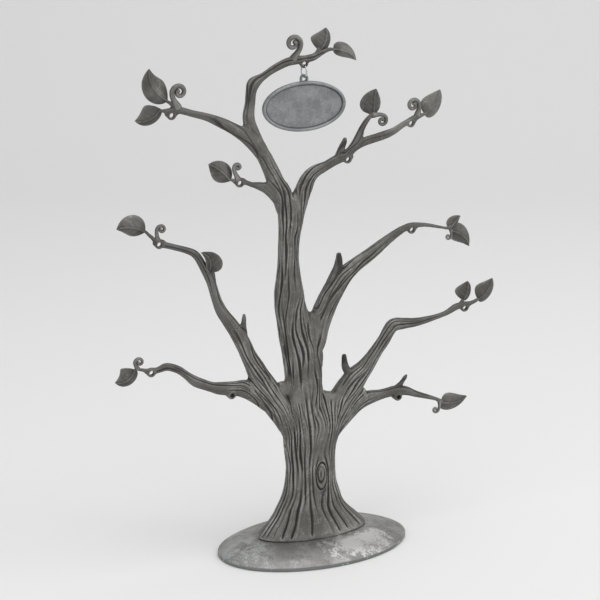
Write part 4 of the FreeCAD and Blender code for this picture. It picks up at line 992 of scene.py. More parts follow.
def tendril(shares, turn, sweep, hand, sides=14):
    """Points, faces, dark and bright shares of one tendril."""
    root = place(*shares[:2])
    width = CURL_WIDTH * shares[2]
    reach, wire = width * shares[3], width * shares[4]
    outer = (width - wire) / 2
    inner = outer * HEART_SHARE
    t = np.linspace(0, 1, 22, endpoint=False)[:, None]
    guides = np.array([(0, 0), (0.3 * outer, 0.35 * reach), (outer, 0.55 * reach), (outer, reach)])
    stem = ((1 - t) ** 3 * guides[0] + 3 * t * (1 - t) ** 2 * guides[1]
            + 3 * t ** 2 * (1 - t) * guides[2] + t ** 3 * guides[3])
    a = np.radians(np.linspace(0, sweep, int(sweep / 7)))
    radius = outer + (inner - outer) * (a / a[-1]) ** 0.9
    coil = np.stack([radius * np.cos(a), reach + radius * np.sin(a)], axis=1)
    local = np.vstack([stem, coil])
    way = math.radians(turn)
    ahead = np.array([math.cos(way), math.sin(way)])
    right = np.array([math.sin(way), -math.cos(way)])
    centre = root[[0, 2]] + local[:, :1] * hand * right + local[:, 1:] * ahead
    share = np.linspace(0, 1, len(centre))
    thick = wire / 2 * (1 + 0.55 * np.exp(-(share / 0.10) ** 2)) * (1 - 0.30 * share)
    thick = thick * (1 + 0.25 * np.exp(-((share - 1) / 0.06) ** 2))
    run = np.column_stack([centre, thick, thick * 0.95, share])
    points, faces = tube(run, sides=sides, blunt=1.1)
    around = np.tile(np.linspace(0, 2 * math.pi, sides, endpoint=False), len(points) // sides)
    inward = 0.5 + 0.5 * np.cos(around) * hand
    dark_share = 0.55 * smoothstep(0.55, 1.0, inward)
    bright_share = 0.6 * smoothstep(0.5, 0.95, np.abs(np.sin(around)))
    return points, faces, dark_share, bright_share


tendrils = {}
for name, *numbers in CURLS:
    tendrils.setdefault(name, []).append(tendril(*numbers))
print("tendrils:", sum(len(items) for items in tendrils.values()))

# %% [markdown]
# ## Assemble each casting
#
# A casting is its share of the skin, with its cut ends closed, and the leaves and tendrils that
# were cast with it. The dark and bright values go onto the mesh, with painted pools of light added.

# %% Build the castings
# Painted pools of light that make the tree paler: across, up and radius, in mm.
PAINTED_LIGHT_SPOTS = [(76, 270, 22), (58, 260, 14), (24, 304, 10), (-98, 288, 9), (-40, 268, 16)]
PAINTED_LIGHT_SHARE = 0.5  # how much of the dark a painted pool of light takes off, and how much painted shine it leaves


def cap_faces(faces):
    """Closes the open ends of a piece of skin: one face for each loop of single edges."""
    pairs = np.vstack([faces[:, [i, (i + 1) % 4]] for i in range(4)])
    keys = np.sort(pairs, axis=1)
    unique, first, count = np.unique(keys, axis=0, return_index=True, return_counts=True)
    lone = pairs[first[count == 1]]
    following = {int(b): int(a) for a, b in lone}
    loops = []
    while following:
        start, after = next(iter(following.items()))
        loop = [start]
        del following[start]
        while after != start and after in following:
            loop.append(after)
            after = following.pop(after)
        if len(loop) > 2:
            loops.append(loop)
    return loops


def casting(name):
    """One casting of the tree as an object, with its dark and bright values."""
    mine = quads[face_owner == owner_names.index(name)]
    used, local = np.unique(mine, return_inverse=True)
    local = local.reshape(-1, 4)
    faces = [tuple(face) for face in local.tolist()] + [tuple(loop) for loop in cap_faces(local)]
    darks, brights = [dark[used]], [bright[used]]
    all_points = [tuple(point) for point in carved[used]]
    for item in leaves.get(name, []) + tendrils.get(name, []):
        start = len(all_points)
        all_points += [tuple(point) for point in item[0]]
        faces += [tuple(start + corner for corner in face) for face in item[1]]
        darks.append(item[2])
        brights.append(item[3])
    mesh = bpy.data.meshes.new(name + "_cast")
    mesh.from_pydata(all_points, [], faces)
    # Painted light: in these spots the bright value rises and the dark value thins.
    painted_light_weight = PAINTED_LIGHT_SHARE * spot_weight(np.array(all_points), PAINTED_LIGHT_SPOTS)
    dark_values = np.concatenate(darks) * (1 - painted_light_weight)
    keep_value(mesh, "dark", dark_values)
    keep_value(mesh, "bright", np.maximum(np.concatenate(brights), painted_light_weight * (1 - dark_values)))
    smooth_shaded(mesh)
    normals = [tuple(normal) for normal in normals_of(mesh)]
    normals[:len(used)] = [tuple(normal) for normal in carved_normals[used]]
    mesh.normals_split_custom_set_from_vertices(normals)
    return in_scene(name + "_casting", mesh)


castings = {name: casting(name) for name in owner_names}
bpy.data.objects.remove(blank)
print("castings:", {name: len(item.data.polygons) for name, item in castings.items()})

# %% [markdown]
# ## The base
#
# The base is a heavy oval dome with a thin upright rim. A surface of revolution would do, squeezed
# to an oval, with its profile drawn once: over the dome, round the rim's edge, down to the table,
# and back under to the felt's recess.

# %% Base dome
RIM_TOP = 2.4 * MM        # where the dome meets the rim
SWELL, SINK = 1.15, 8 * MM  # the dome is part of a larger, lower ellipse
SEAT_EASE = 0.5 * MM      # softness of the edge of the flat seat
RIM_START = 0.992
FELT_TOP = 1.5 * MM
DENT, CHIP_SHARE = 0.05 * MM, 0.003
base_low, base_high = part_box("base_dome")


def base_profile():
    """Shares of the radii and heights, from the middle of the top to the middle beneath."""
    rise = (RIM_TOP + SINK) / math.sqrt(1 - 1 / SWELL ** 2)
    profile = []
    for share in np.linspace(0.0, RIM_START, 64):
        dome = -SINK + rise * math.sqrt(1 - (share / SWELL) ** 2)
        gap = (dome - SEAT_HEIGHT) / SEAT_EASE
        profile.append((share, SEAT_HEIGHT - SEAT_EASE * math.log1p(math.exp(-gap))))
    for turn in np.radians([20, 45, 70, 90]):
        profile.append((RIM_START + (1 - RIM_START) * math.sin(turn),
                        RIM_TOP - 0.28 * MM + 0.42 * MM * math.cos(turn)))
    profile += [(1.0, RIM_TOP / 2), (1.0, base_low.z + 0.35 * MM), (0.996, base_low.z), (0.945, base_low.z)]
    return profile + [(0.943, FELT_TOP), (0.5, FELT_TOP), (0.0, FELT_TOP)]


def oval_turning(name, profile, long, broad, turns=288):
    """A closed oval turned from a profile of shares and heights."""
    angle = np.linspace(0, 2 * math.pi, turns, endpoint=False)
    points = []
    for share, up in profile[1:-1]:
        points += [(long * share * math.cos(a), broad * share * math.sin(a), up) for a in angle]
    points += [(0, 0, profile[0][1]), (0, 0, profile[-1][1])]
    top, bottom = len(points) - 2, len(points) - 1
    faces = bands(len(profile) - 2, turns, turned=True)
    last = (len(profile) - 3) * turns
    for side in range(turns):
        after = (side + 1) % turns
        faces += [(top, side, after), (bottom, last + after, last + side)]
    return mesh_from(name, [(points, faces)])


base = oval_turning("base_weight", base_profile(), base_high.x, base_high.y)
spots = points_of(base.data)
angle = np.arctan2(spots[:, 1] / base_high.y, spots[:, 0] / base_high.x)
share = np.hypot(spots[:, 0] / base_high.x, spots[:, 1] / base_high.y)
dents = DENT * np.sin(spots[:, 0] / 0.009 + 1) * np.sin(spots[:, 1] / 0.007)
spots[:, 2] += dents * (spots[:, 2] > 3 * MM) * (share > 0.6)
chipped = CHIP_SHARE * (1 + np.sin(5 * angle + 1) * np.sin(3 * angle)) / 2 * (share > 0.9)
spots[:, :2] *= (1 - chipped)[:, None]
move_points(base.data, spots)
print("base points:", len(base.data.vertices))

# %% [markdown]
# ## The oval frame and its ring
#
# The frame is one casting: a flat tray with a raised, rounded rim and a small loop on top. The rim
# is again a profile that goes round an oval, given as insets from the outer edge.

# %% Tray and rim
frame_low, frame_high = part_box("oval_frame")
OVAL_TALL = 29.5 * MM
OVAL_HALF = ((frame_high.x - frame_low.x) / 2, OVAL_TALL / 2)
OVAL_MIDDLE = ((frame_high.x + frame_low.x) / 2, frame_low.z + OVAL_HALF[1])
# Inset from the outer edge and height from the front, in mm, from the back over the rim to the tray.
RIM_PROFILE = [
    (7.0, 3.2), (1.2, 3.2), (0.5, 3.05), (0.12, 2.7), (0.0, 2.2), (0.0, 1.1), (0.10, 0.62), (0.32, 0.28),
    (0.66, 0.07), (1.05, 0.0), (1.40, 0.08), (1.70, 0.30), (1.90, 0.62), (2.02, 1.0), (2.12, 1.18),
    (2.35, 1.26), (2.8, 1.22), (4.0, 1.2), (7.0, 1.2),
]
CORNER_INSET, CORNER_HALF, BACK_FROM = 2.2, 0.35, 2  # where the painted shadow lies at the rim's foot, in mm


def oval_frame_part(turns=240):
    """The tray and rim: points, faces and how dark the painted shadow makes each point."""
    angle = np.linspace(0, 2 * math.pi, turns, endpoint=False)
    points, shade = [], []
    for inset, back in RIM_PROFILE:
        for a in angle:
            across = OVAL_MIDDLE[0] + (OVAL_HALF[0] - inset * MM) * math.cos(a)
            up = OVAL_MIDDLE[1] + (OVAL_HALF[1] - inset * MM) * math.sin(a)
            points.append((across, frame_low.y + back * MM, up))
        # Painted shadow: a dark line where the rim's inner wall meets the tray.
        rim_foot_shadow = math.exp(-((inset - CORNER_INSET) / CORNER_HALF) ** 2)
        shade += [rim_foot_shadow if back < BACK_FROM else 0.0] * turns
    last = len(points) - turns
    ends = [tuple(range(turns - 1, -1, -1)), tuple(range(last, last + turns))]
    return np.array(points), bands(len(RIM_PROFILE), turns) + ends, np.array(shade)


oval_part = oval_frame_part()
print("tray and rim points:", len(oval_part[0]))

# %% [markdown]
# The loop grows wider where it meets the rim, as cast metal does, and the ring's hole goes
# through it. Its section has eight corners, which is enough to look soft at this size.

# %% Loop
LOOP_HOLE, LOOP_WALL, LOOP_HALF, LOOP_SOFT = 1.4 * MM, 1.1 * MM, 1.0 * MM, 0.3 * MM
FOOT_SHARE, FOOT_FLARE = 0.30, 0.25 * MM


def loop_part(turns=64):
    """The loop on top of the frame: a soft-edged plate round the ring's hole, with painted shade inside the
    hole.
    """
    middle = frame_high.z - LOOP_HOLE - LOOP_WALL
    inner, deep, edge = LOOP_HOLE + LOOP_SOFT, LOOP_HALF, LOOP_HALF - LOOP_SOFT
    points, shade = [], []
    for number in range(turns):
        a = 2 * math.pi * number / turns
        low = max(0.0, -math.sin(a))
        outer = (LOOP_HOLE + LOOP_WALL) * (1 + FOOT_SHARE * smoothstep(0.25, 0.85, low))
        outer = outer + FOOT_FLARE * smoothstep(0.3, 0.7, low) * (1 - smoothstep(0.8, 1.0, low))
        shoulder = outer - LOOP_SOFT
        for radius, back in ((LOOP_HOLE, -edge), (inner, -deep), (shoulder, -deep), (outer, -edge),
                             (outer, edge), (shoulder, deep), (inner, deep), (LOOP_HOLE, edge)):
            points.append((OVAL_MIDDLE[0] + radius * math.cos(a), back, middle + radius * math.sin(a)))
            # Painted shade: the wall of the hole is darkened.
            shade.append(0.7 if radius == LOOP_HOLE else 0.0)
    faces = [tuple(corner % len(points) for corner in face) for face in bands(turns + 1, 8)]
    return np.array(points), faces, np.array(shade)


def turned_out(made):
    """Faces outward, smooth shading."""
    work = bmesh.new()
    work.from_mesh(made.data)
    bmesh.ops.recalc_face_normals(work, faces=work.faces)
    work.to_mesh(made.data)
    work.free()
    smooth_shaded(made.data)


loop = loop_part()
oval = mesh_from("oval_frame_cast", [oval_part[:2], loop[:2]])
turned_out(oval)
# The dark value holds the painted shadow at the rim's foot and the painted shade in the loop's hole.
keep_value(oval.data, "dark", np.concatenate([oval_part[2], loop[2]]))
turned_out(base)
print("oval frame points:", len(oval.data.vertices))

# %% [markdown]
# The jump ring is a length of round wire, bent until its ends almost meet. The gap lies low at
# its back, where the frame's loop hides it, and the ends are filed a little thinner.

# %% Jump ring
ring_low, ring_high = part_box("jump_ring")
GAP_DEGREES, GAP_TURN, FILED = 5, -40, 0.86


def jump_ring_part(turns=96, sides=20):
    """The wire ring, with its fine gap."""
    wire = (ring_high.x - ring_low.x) / 2
    middle = ((ring_low.x + ring_high.x) / 2, (ring_low.z + ring_high.z) / 2)
    radius = (ring_high.z - ring_low.z) / 2 - wire
    start = math.radians(GAP_TURN + GAP_DEGREES / 2)
    sweep = 2 * math.pi - math.radians(GAP_DEGREES)
    points = []
    for number in range(turns + 1):
        a = start + sweep * number / turns
        slim = wire * (FILED if number in (0, turns) else 1.0)
        for side in range(sides):
            b = 2 * math.pi * side / sides
            out = radius + slim * math.cos(b)
            points.append((middle[0] + slim * math.sin(b), out * math.cos(a),
                           middle[1] + out * math.sin(a)))
    ends = [tuple(range(sides)), tuple(range(len(points) - 1, turns * sides - 1, -1))]
    return points, bands(turns + 1, sides, turned=True) + ends


jump_ring = mesh_from("jump_ring_wire", [jump_ring_part()])
turned_out(jump_ring)
print("ring points:", len(jump_ring.data.vertices))

# %% [markdown]
# ## Node helpers
#
# Materials are built from nodes. A few small helpers keep that readable: one adds a node and sets
# or links its inputs, and the others wrap the nodes that are used most, such as noise, mixes and
# sums.

# %% Add and mix nodes
def add(tree, kind, values=None, **settings):
    """Adds a node; values fill its inputs, where a socket becomes a link."""
    node = tree.nodes.new(kind)
    for name, value in settings.items():
        setattr(node, name, value)
    for key, value in (values or {}).items():
        if isinstance(value, bpy.types.NodeSocket):
            tree.links.new(value, node.inputs[key])
        else:
            node.inputs[key].default_value = value
    return node


def ramp(tree, factor, stops):
    """A colour ramp; stops are (place, grey or colour)."""
    node = add(tree, "ShaderNodeValToRGB", {"Fac": factor})
    elements = node.color_ramp.elements
    while len(elements) < len(stops):
        elements.new(0.5)
    for element, (where, value) in zip(elements, stops):
        colour = (value,) * 3 if isinstance(value, (int, float)) else value
        element.position = where
        element.color = (*colour, 1)
    return node.outputs["Color"]


def mixed(tree, factor, first, second, blend="MIX"):
    """A mix of two colours."""
    node = add(tree, "ShaderNodeMix", data_type="RGBA", blend_type=blend)
    for socket, value in ((node.inputs[0], factor), (node.inputs[6], first), (node.inputs[7], second)):
        if isinstance(value, bpy.types.NodeSocket):
            tree.links.new(value, socket)
        else:
            socket.default_value = (*value, 1) if isinstance(value, tuple) else value
    return node.outputs[2]


print("node groups before the shared effects:", len(bpy.data.node_groups))

# %% [markdown]
# Masks are mostly sums: noise, times a share, plus an amount, stretched until it has an edge.
# With a short name for each of these, a material reads almost like a recipe.

# %% Sums, ranges and noise
def maths(tree, operation, first, second=0.0):
    """One step on values, such as a power or a division."""
    return add(tree, "ShaderNodeMath", {0: first, 1: second}, operation=operation).outputs[0]


def times(tree, first, second):
    """The product of two values."""
    return maths(tree, "MULTIPLY", first, second)


def plus(tree, first, second):
    """The sum of two values."""
    return maths(tree, "ADD", first, second)


def less(tree, first, second):
    """The first value less the second."""
    return maths(tree, "SUBTRACT", first, second)


def stretched(tree, value, low, high, to_low=0.0, to_high=1.0, way="LINEAR"):
    """A value's range from low to high, stretched to another range and held there."""
    return add(tree, "ShaderNodeMapRange", {
        "Value": value, "From Min": low, "From Max": high, "To Min": to_low, "To Max": to_high},
        interpolation_type=way).outputs["Result"]


def own_place(tree):
    """The object's own coordinates, in metres."""
    return add(tree, "ShaderNodeTexCoord").outputs["Object"]


def noise(tree, where, scale, detail, roughness=0.5, distortion=0.0):
    """A noise mask; the scale is in waves per metre."""
    return add(tree, "ShaderNodeTexNoise", {
        "Vector": where, "Scale": scale, "Detail": detail, "Roughness": roughness,
        "Distortion": distortion}).outputs["Fac"]


def mesh_value(tree, name):
    """A number that the mesh keeps for each vertex."""
    return add(tree, "ShaderNodeAttribute", attribute_name=name).outputs["Fac"]


print("one millimetre is", 1 / MM, "to the metre, so noise of scale 1000 has waves of 1 mm")

# %% [markdown]
# Each material ends in one Principled shader. Values that never change over the surface are set
# on its own sockets, and only what varies is linked.

# %% Shader and bump helpers
def blank_material(name):
    """A material with only its Principled shader."""
    made = bpy.data.materials.new(name)
    made.use_nodes = True
    return made, made.node_tree, made.node_tree.nodes["Principled BSDF"]


def set_inputs(tree, shader, **values):
    """Sets or links the shader's inputs; underscores stand for spaces."""
    for name, value in values.items():
        socket = shader.inputs[name.replace("_", " ")]
        if isinstance(value, bpy.types.NodeSocket):
            tree.links.new(value, socket)
        else:
            socket.default_value = (*value, 1) if isinstance(value, tuple) else value


def bumped(tree, height, strength, distance_mm):
    """A bump from a height."""
    values = {"Height": height, "Strength": strength, "Distance": distance_mm * MM}
    return add(tree, "ShaderNodeBump", values).outputs["Normal"]


print("materials before dressing:", sorted(item.name for item in bpy.data.materials))

# %% [markdown]
# ## Effects that the metals share
#
# Several materials have the same things happen to them, so each becomes a node group with named
# inputs: clouds of tarnish with frayed edges, the fine grain of a sand casting, and small chips.
# A group puts out a mask or a height only, and each material decides what it does with it.

# %% Clouds of tarnish
METRE_MM = 1000.0  # a size in mm becomes waves per metre


def group(name, inputs, output):
    """An empty node group with float inputs (name, value) and one float output."""
    tree = bpy.data.node_groups.new(name, "ShaderNodeTree")
    for label, value in inputs:
        socket = tree.interface.new_socket(name=label, in_out="INPUT", socket_type="NodeSocketFloat")
        socket.default_value = value
    tree.interface.new_socket(name=output, in_out="OUTPUT", socket_type="NodeSocketFloat")
    return tree, tree.nodes.new("NodeGroupInput").outputs, tree.nodes.new("NodeGroupOutput").inputs


def tarnish_group():
    """Clouds of tarnish: a slow mask, with a finer one that frays its edges."""
    tree, given, gives = group(
        "tarnish clouds", [("Size mm", 10.0), ("Fray", 0.5), ("Low", 0.4), ("High", 0.6)], "Mask")
    where = own_place(tree)
    scale = maths(tree, "DIVIDE", METRE_MM, given["Size mm"])
    broad = noise(tree, where, scale, 3.0, 0.55)
    fine = noise(tree, where, times(tree, scale, 5.5), 5.0, 0.7)
    value = plus(tree, broad, times(tree, less(tree, fine, 0.5), given["Fray"]))
    tree.links.new(stretched(tree, value, given["Low"], given["High"], way="SMOOTHSTEP"), gives["Mask"])
    return tree


TARNISH = tarnish_group()
print("tarnish nodes:", len(TARNISH.nodes))

# %% [markdown]
# Grain is a height for the bump: sand from a noise, and dimples from the cells of a Voronoi
# texture. Chips are a noise with a hard edge, thinned out by a slower one, so that they come in
# patches.

# %% Grain and chips
def grain_group():
    """Fine cast grain as a height: sand-like pits and a few wider dimples."""
    tree, given, gives = group("cast grain", [("Grain mm", 0.5), ("Pits", 0.5)], "Height")
    where = own_place(tree)
    scale = maths(tree, "DIVIDE", METRE_MM, given["Grain mm"])
    sand = noise(tree, where, scale, 4.0, 0.6)
    cells = add(tree, "ShaderNodeTexVoronoi", {"Vector": where, "Scale": times(tree, scale, 0.35)})
    dimple = stretched(tree, cells.outputs["Distance"], 0.05, 0.35)
    tree.links.new(plus(tree, sand, times(tree, dimple, given["Pits"])), gives["Height"])
    return tree


def chips_group():
    """Small broken flecks: a mask that is 1 where the finish has chipped off."""
    tree, given, gives = group("chips", [("Fleck mm", 1.0), ("Amount", 0.3)], "Mask")
    where = own_place(tree)
    scale = maths(tree, "DIVIDE", METRE_MM, given["Fleck mm"])
    flecks = noise(tree, where, scale, 6.0, 0.75)
    clouds = noise(tree, where, times(tree, scale, 0.16), 2.0)
    value = times(tree, flecks, plus(tree, clouds, 0.5))
    edge = less(tree, 0.72, times(tree, given["Amount"], 0.3))
    tree.links.new(stretched(tree, value, edge, plus(tree, edge, 0.05)), gives["Mask"])
    return tree


def use(tree, shared, **values):
    """Places a shared group in a material."""
    node = add(tree, "ShaderNodeGroup", node_tree=shared)
    for name, value in values.items():
        node.inputs[name.replace("_", " ")].default_value = value
    return node.outputs[0]


GRAIN, CHIPS = grain_group(), chips_group()
print("groups:", [item.name for item in bpy.data.node_groups])

# %% [markdown]
# ## Antique pewter
#
# The tree's metal is a warm mid grey with a satin face. Its grooves are nearly black with old
# patina, ridge tops are rubbed to a soft shine, and broad clouds of tarnish drift over all. The
# dark and bright attributes steer the mix. Hollows are duller and less metallic than the ridges.

# %% Pewter material
def pewter():
    """Antique pewter for the castings of the tree."""
    made, tree, shader = blank_material("antique pewter")
    dark_here = mesh_value(tree, "dark")
    bright_here = mesh_value(tree, "bright")
    clouds = use(tree, TARNISH, Size_mm=16.0, Fray=0.45, Low=0.38, High=0.66)
    brown = use(tree, TARNISH, Size_mm=7.0, Fray=0.6, Low=0.52, High=0.70)
    specks = use(tree, CHIPS, Fleck_mm=0.8, Amount=0.35)
    body = mixed(tree, clouds, (0.132, 0.128, 0.118), (0.176, 0.174, 0.164))
    body = mixed(tree, times(tree, brown, 0.35), body, (0.118, 0.100, 0.082))
    # This colour serves the rubbed ridges and also the painted pools of light that the bright value
    # carries.
    rubbed_and_painted_light = mixed(tree, clouds, (0.25, 0.246, 0.232), (0.36, 0.355, 0.34))
    shine = times(tree, bright_here, plus(tree, times(tree, clouds, 0.35), 0.62))
    colour = mixed(tree, shine, body, rubbed_and_painted_light)
    colour = mixed(tree, times(tree, specks, 0.5), colour, (0.46, 0.455, 0.44))
    deep = maths(tree, "POWER", dark_here, 0.8)
    colour = mixed(tree, times(tree, deep, 0.93), colour, (0.022, 0.021, 0.018))
    rough = plus(tree, times(tree, deep, 0.30), times(tree, clouds, -0.08))
    rough = plus(tree, rough, 0.50)
    metal = less(tree, 0.80, times(tree, deep, 0.55))
    height = use(tree, GRAIN, Grain_mm=0.55, Pits=0.35)
    set_inputs(tree, shader, Base_Color=colour, Roughness=rough, Metallic=metal,
               Normal=bumped(tree, height, 0.30, 0.12))
    return made


PEWTER = pewter()
print("pewter nodes:", len(PEWTER.node_tree.nodes))

# %% [markdown]
# ## The worn base
#
# The dome shares the pewter's grey but is smoother and patchier. Its front right is worn to bare
# metal under a painted reflection, the left edge is mottled, and the rim's upright edge is dark with
# bright chips. The places come from the object's own coordinates, and noise breaks their outlines.

# %% Base material
RIM_BLEND = 0.2 * MM


def spot(tree, where, centre, halves):
    """A soft oval mask round a place on the base: 1 in its middle, 0 at its edge."""
    moved = add(tree, "ShaderNodeVectorMath", {0: where, 1: centre}, operation="SUBTRACT")
    scaled = add(tree, "ShaderNodeVectorMath", {0: moved.outputs[0], 1: [1 / half for half in halves]},
                 operation="MULTIPLY")
    far = add(tree, "ShaderNodeVectorMath", {0: scaled.outputs[0]}, operation="LENGTH")
    return stretched(tree, far.outputs["Value"], 1.0, 0.25)


def worn_base():
    """Patchy grey metal, rubbed bright in places under a painted reflection, with a dark chipped rim."""
    made, tree, shader = blank_material("worn base metal")
    where = own_place(tree)
    up = add(tree, "ShaderNodeSeparateXYZ", {0: where}).outputs["Z"]
    slow = use(tree, TARNISH, Size_mm=22.0, Fray=0.35, Low=0.36, High=0.66)
    frayed = use(tree, TARNISH, Size_mm=5.0, Fray=0.9, Low=0.46, High=0.58)
    flecks = use(tree, CHIPS, Fleck_mm=1.4, Amount=0.55)
    body = mixed(tree, slow, (0.245, 0.236, 0.228), (0.385, 0.380, 0.370))
    body = mixed(tree, times(tree, frayed, 0.32), body, (0.160, 0.152, 0.146))
    # Wear and painted reflection: two soft spots at the front right, frayed by noise, turn the dome pale.
    wear_and_reflection_spots = maths(tree, "MAXIMUM", spot(tree, where, (0.015, -0.025, 0.006), (0.027, 0.015, 0.02)),
                spot(tree, where, (0.029, -0.022, 0.006), (0.018, 0.012, 0.02)))
    frayed_wear_and_reflection = plus(tree, wear_and_reflection_spots, times(tree, less(tree, frayed, 0.5), 0.55))
    rubbed_and_painted_light = stretched(tree, frayed_wear_and_reflection, 0.30, 0.62)
    colour = mixed(tree, rubbed_and_painted_light, body, (0.70, 0.69, 0.675))
    left = spot(tree, where, (-0.050, -0.012, 0.004), (0.022, 0.030, 0.02))
    mottle = times(tree, left, frayed)
    colour = mixed(tree, times(tree, mottle, 0.9), colour, (0.56, 0.58, 0.58))
    colour = mixed(tree, times(tree, flecks, 0.55), colour, (0.15, 0.147, 0.143))
    edge = stretched(tree, up, RIM_TOP + RIM_BLEND, RIM_TOP - 2 * RIM_BLEND)
    edge_chips = use(tree, CHIPS, Fleck_mm=3.0, Amount=0.38)
    rim_colour = mixed(tree, edge_chips, (0.215, 0.232, 0.222), (0.55, 0.56, 0.55))
    colour = mixed(tree, edge, colour, rim_colour)
    rough = stretched(tree, plus(tree, rubbed_and_painted_light, times(tree, slow, 0.3)), 0.0, 1.3, 0.50, 0.30)
    height = use(tree, GRAIN, Grain_mm=1.1, Pits=0.2)
    set_inputs(tree, shader, Base_Color=colour, Roughness=rough, Metallic=0.82,
               Normal=bumped(tree, height, 0.16, 0.10))
    return made


WORN_BASE = worn_base()
print("base metal nodes:", len(WORN_BASE.node_tree.nodes))

# %% [markdown]
# ## Frame, ring, felt and screws
#
# The oval frame is cooler and cleaner than the tree, with finger smudges on its tray and a painted
# shadow line where the rim meets it. Fine upright streaks come from a noise that is stretched along Z.

# %% Frame metal
def smudged_metal():
    """The oval frame's satin metal, with painted shade in its inner corner and in the loop's hole."""
    made, tree, shader = blank_material("smudged satin metal")
    corner = mesh_value(tree, "dark")
    smudge = use(tree, TARNISH, Size_mm=9.0, Fray=0.8, Low=0.40, High=0.62)
    streak_place = add(tree, "ShaderNodeMapping", {
        "Vector": own_place(tree), "Scale": (1.0, 1.0, 0.25)})
    streaks = noise(tree, streak_place.outputs[0], 900.0, 3.0, 0.6)
    flecks = use(tree, CHIPS, Fleck_mm=0.9, Amount=0.5)
    colour = mixed(tree, smudge, (0.212, 0.222, 0.228), (0.305, 0.314, 0.318))
    colour = mixed(tree, times(tree, streaks, 0.32), colour, (0.37, 0.378, 0.38))
    colour = mixed(tree, times(tree, flecks, 0.5), colour, (0.42, 0.43, 0.43))
    # Painted shadow and shade: the dark value darkens the rim's inner corner and the loop's hole.
    colour = mixed(tree, times(tree, corner, 0.85), colour, (0.040, 0.042, 0.042))
    rough = plus(tree, times(tree, smudge, 0.14), 0.38)
    height = use(tree, GRAIN, Grain_mm=0.7, Pits=0.1)
    set_inputs(tree, shader, Base_Color=colour, Roughness=rough, Metallic=0.85,
               Normal=bumped(tree, height, 0.12, 0.08))
    return made


FRAME_METAL = smudged_metal()
print("frame metal nodes:", len(FRAME_METAL.node_tree.nodes))

# %% [markdown]
# The ring is bright drawn steel. The felt and the screws are under the base where few will look,
# and still get their own fibres and cloudy zinc.

# %% Wire, felt and zinc
def drawn_wire():
    """Bright steel wire with faint drawing lines."""
    made, tree, shader = blank_material("bright drawn wire")
    lines = noise(tree, own_place(tree), 2600.0, 2.0)
    colour = ramp(tree, lines, [(0.35, 0.46), (0.65, 0.62)])
    set_inputs(tree, shader, Base_Color=colour, Roughness=0.22, Metallic=1.0,
               Normal=bumped(tree, lines, 0.08, 0.02))
    return made


def black_felt():
    """Short black felt fibres."""
    made, tree, shader = blank_material("black felt")
    fibres = noise(tree, own_place(tree), 2200.0, 6.0, 0.8, 2.5)
    colour = ramp(tree, fibres, [(0.3, 0.012), (0.55, 0.028), (0.75, 0.055)])
    set_inputs(tree, shader, Base_Color=colour, Roughness=0.95, Metallic=0.0, Sheen_Weight=0.35,
               Normal=bumped(tree, fibres, 0.6, 0.15))
    return made


def zinc_screw():
    """Zinc-plated screw steel with a faint yellow cast."""
    made, tree, shader = blank_material("zinc plated steel")
    clouds = use(tree, TARNISH, Size_mm=3.0, Fray=0.6, Low=0.35, High=0.7)
    colour = mixed(tree, clouds, (0.42, 0.41, 0.38), (0.60, 0.60, 0.59))
    height = use(tree, GRAIN, Grain_mm=0.4, Pits=0.1)
    set_inputs(tree, shader, Base_Color=colour, Roughness=0.34, Metallic=1.0,
               Normal=bumped(tree, height, 0.15, 0.03))
    return made


WIRE, FELT, ZINC = drawn_wire(), black_felt(), zinc_screw()
print("felt nodes:", len(FELT.node_tree.nodes))

# %% [markdown]
# Every casting of the tree wears the pewter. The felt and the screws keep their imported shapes
# and only get a finish.

# %% Dress the pieces
def finish_with(made, material):
    """Gives an object one material."""
    made.data.materials.clear()
    made.data.materials.append(material)


for item in castings.values():
    finish_with(item, PEWTER)
finish_with(base, WORN_BASE)
finish_with(oval, FRAME_METAL)
finish_with(jump_ring, WIRE)
finish_with(frame["nodes"]["base_felt"], FELT)
finish_with(frame["nodes"]["foot_screws"], ZINC)
print("materials:", [item.name for item in bpy.data.materials if item.users])

# %% [markdown]
# ## What moves with what
#
# The castings, the base and what is under it stand still as one body. The ring swings in the
# crown's hole, and the frame tips on the ring.

# %% Ride the bodies
for name, item in castings.items():
    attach(item, "tree")
    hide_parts(name)
for item, body, node, slot in (
        (base, "tree", "base_dome", "casting"), (jump_ring, "ring", "jump_ring", "ring_steel"),
        (oval, "frame", "oval_frame", "frame_metal")):
    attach(item, body)
    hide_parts(node)
print("pieces that ride:", len(castings) + 3)

# %% [markdown]
# ## The studio
#
# The photograph was taken in a light tent: a pale floor that runs up into the backdrop, soft
# light from all round, a little more from above and the right, and a faint shadow at the base.
# The camera stands a little to the left and above, with a long lens.

# %% Paper floor
YAW = math.radians(24)
PAPER_HALF, PAPER_NEAR, PAPER_BEND, PAPER_CURVE, PAPER_TOP = 6.0, -6.0, 0.9, 0.8, 3.2


def paper_sweep():
    """A pale floor that curves up into a backdrop, square to the camera."""
    profile = [(PAPER_NEAR, 0.0), (PAPER_BEND, 0.0)]
    profile += [(PAPER_BEND + PAPER_CURVE * math.sin(a), PAPER_CURVE - PAPER_CURVE * math.cos(a))
                for a in np.radians(np.arange(6, 91, 6))]
    profile.append((PAPER_BEND + PAPER_CURVE, PAPER_TOP))
    points = [(across * math.cos(YAW) + along * math.sin(YAW),
               along * math.cos(YAW) - across * math.sin(YAW), up)
              for along, up in profile for across in (-PAPER_HALF, PAPER_HALF)]
    faces = [(2 * step, 2 * step + 1, 2 * step + 3, 2 * step + 2) for step in range(len(profile) - 1)]
    made = mesh_from("paper_sweep", [(points, faces)])
    smooth_shaded(made.data)
    return made


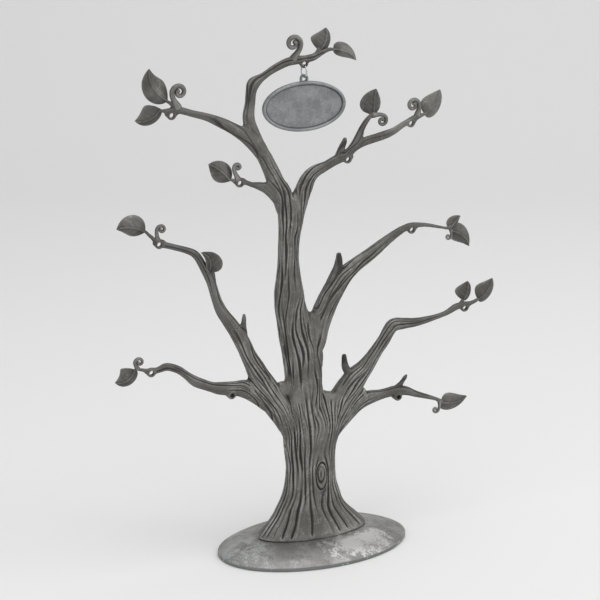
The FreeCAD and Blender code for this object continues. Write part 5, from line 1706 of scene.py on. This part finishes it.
paper, tree, shader = blank_material("pale paper")
set_inputs(tree, shader, Base_Color=(0.80, 0.80, 0.795), Roughness=0.95, Specular_IOR_Level=0.1)
floor = paper_sweep()
finish_with(floor, paper)
floor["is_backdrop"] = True
print("paper faces:", len(floor.data.polygons))

# %% [markdown]
# Three large lamps stand for the tent's walls, with the brightest above. A pale world fills in
# the rest, so that no side of the metal goes black.

# %% Lamps and world
MIDDLE = Vector((0, 0, 0.16))
LAMPS = [  # name, place, side in metres and power in watts
    ("tent_top", (0.1, -0.3, 1.5), 1.2, 9.0),
    ("tent_right", (1.3, -0.7, 0.8), 1.0, 6.0),
    ("tent_left", (-1.4, -0.6, 0.7), 1.0, 3.5),
]
for name, stand, side, power in LAMPS:
    data = bpy.data.lights.new(name, "AREA")
    data.size = side
    data.energy = power
    lamp = in_scene(name, data)
    lamp.location = stand
    lamp.rotation_euler = (MIDDLE - Vector(stand)).to_track_quat("-Z", "Y").to_euler()
world = bpy.data.worlds.new("light tent")
world.use_nodes = True
world.node_tree.nodes["Background"].inputs["Color"].default_value = (0.86, 0.865, 0.87, 1)
world.node_tree.nodes["Background"].inputs["Strength"].default_value = 0.72
bpy.context.scene.world = world
print("lamps:", [lamp.name for lamp in bpy.data.lights])

# %% [markdown]
# The camera's yaw, pitch and distance were found by fitting the tree's known sizes to the photo.

# %% Camera
PITCH, DISTANCE = math.radians(16.82), 1.191
LOOK_AT = Vector((-0.0085, 0, 0.1588))
LENS_MM, SENSOR_MM = 120.0, 36.0
forward = Vector((math.sin(YAW) * math.cos(PITCH), math.cos(YAW) * math.cos(PITCH), -math.sin(PITCH)))
lens = bpy.data.cameras.new("portrait_lens")
lens.lens, lens.sensor_width = LENS_MM, SENSOR_MM
camera = in_scene("portrait_camera", lens)
camera.location = LOOK_AT - forward * DISTANCE
camera.rotation_euler = forward.to_track_quat("-Z", "Y").to_euler()
bpy.context.scene.camera = camera
bpy.context.scene.view_settings.view_transform = "Standard"
print("camera at", [round(value, 3) for value in camera.location])

# %% [markdown]
# ## The size
#
# The dressed tree has to fit the box of the imported model, so the box of the dressed pieces is
# printed.

# %% Size and finish
low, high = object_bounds()
print("visual box", [round(v, 4) for v in (*low, *high)])
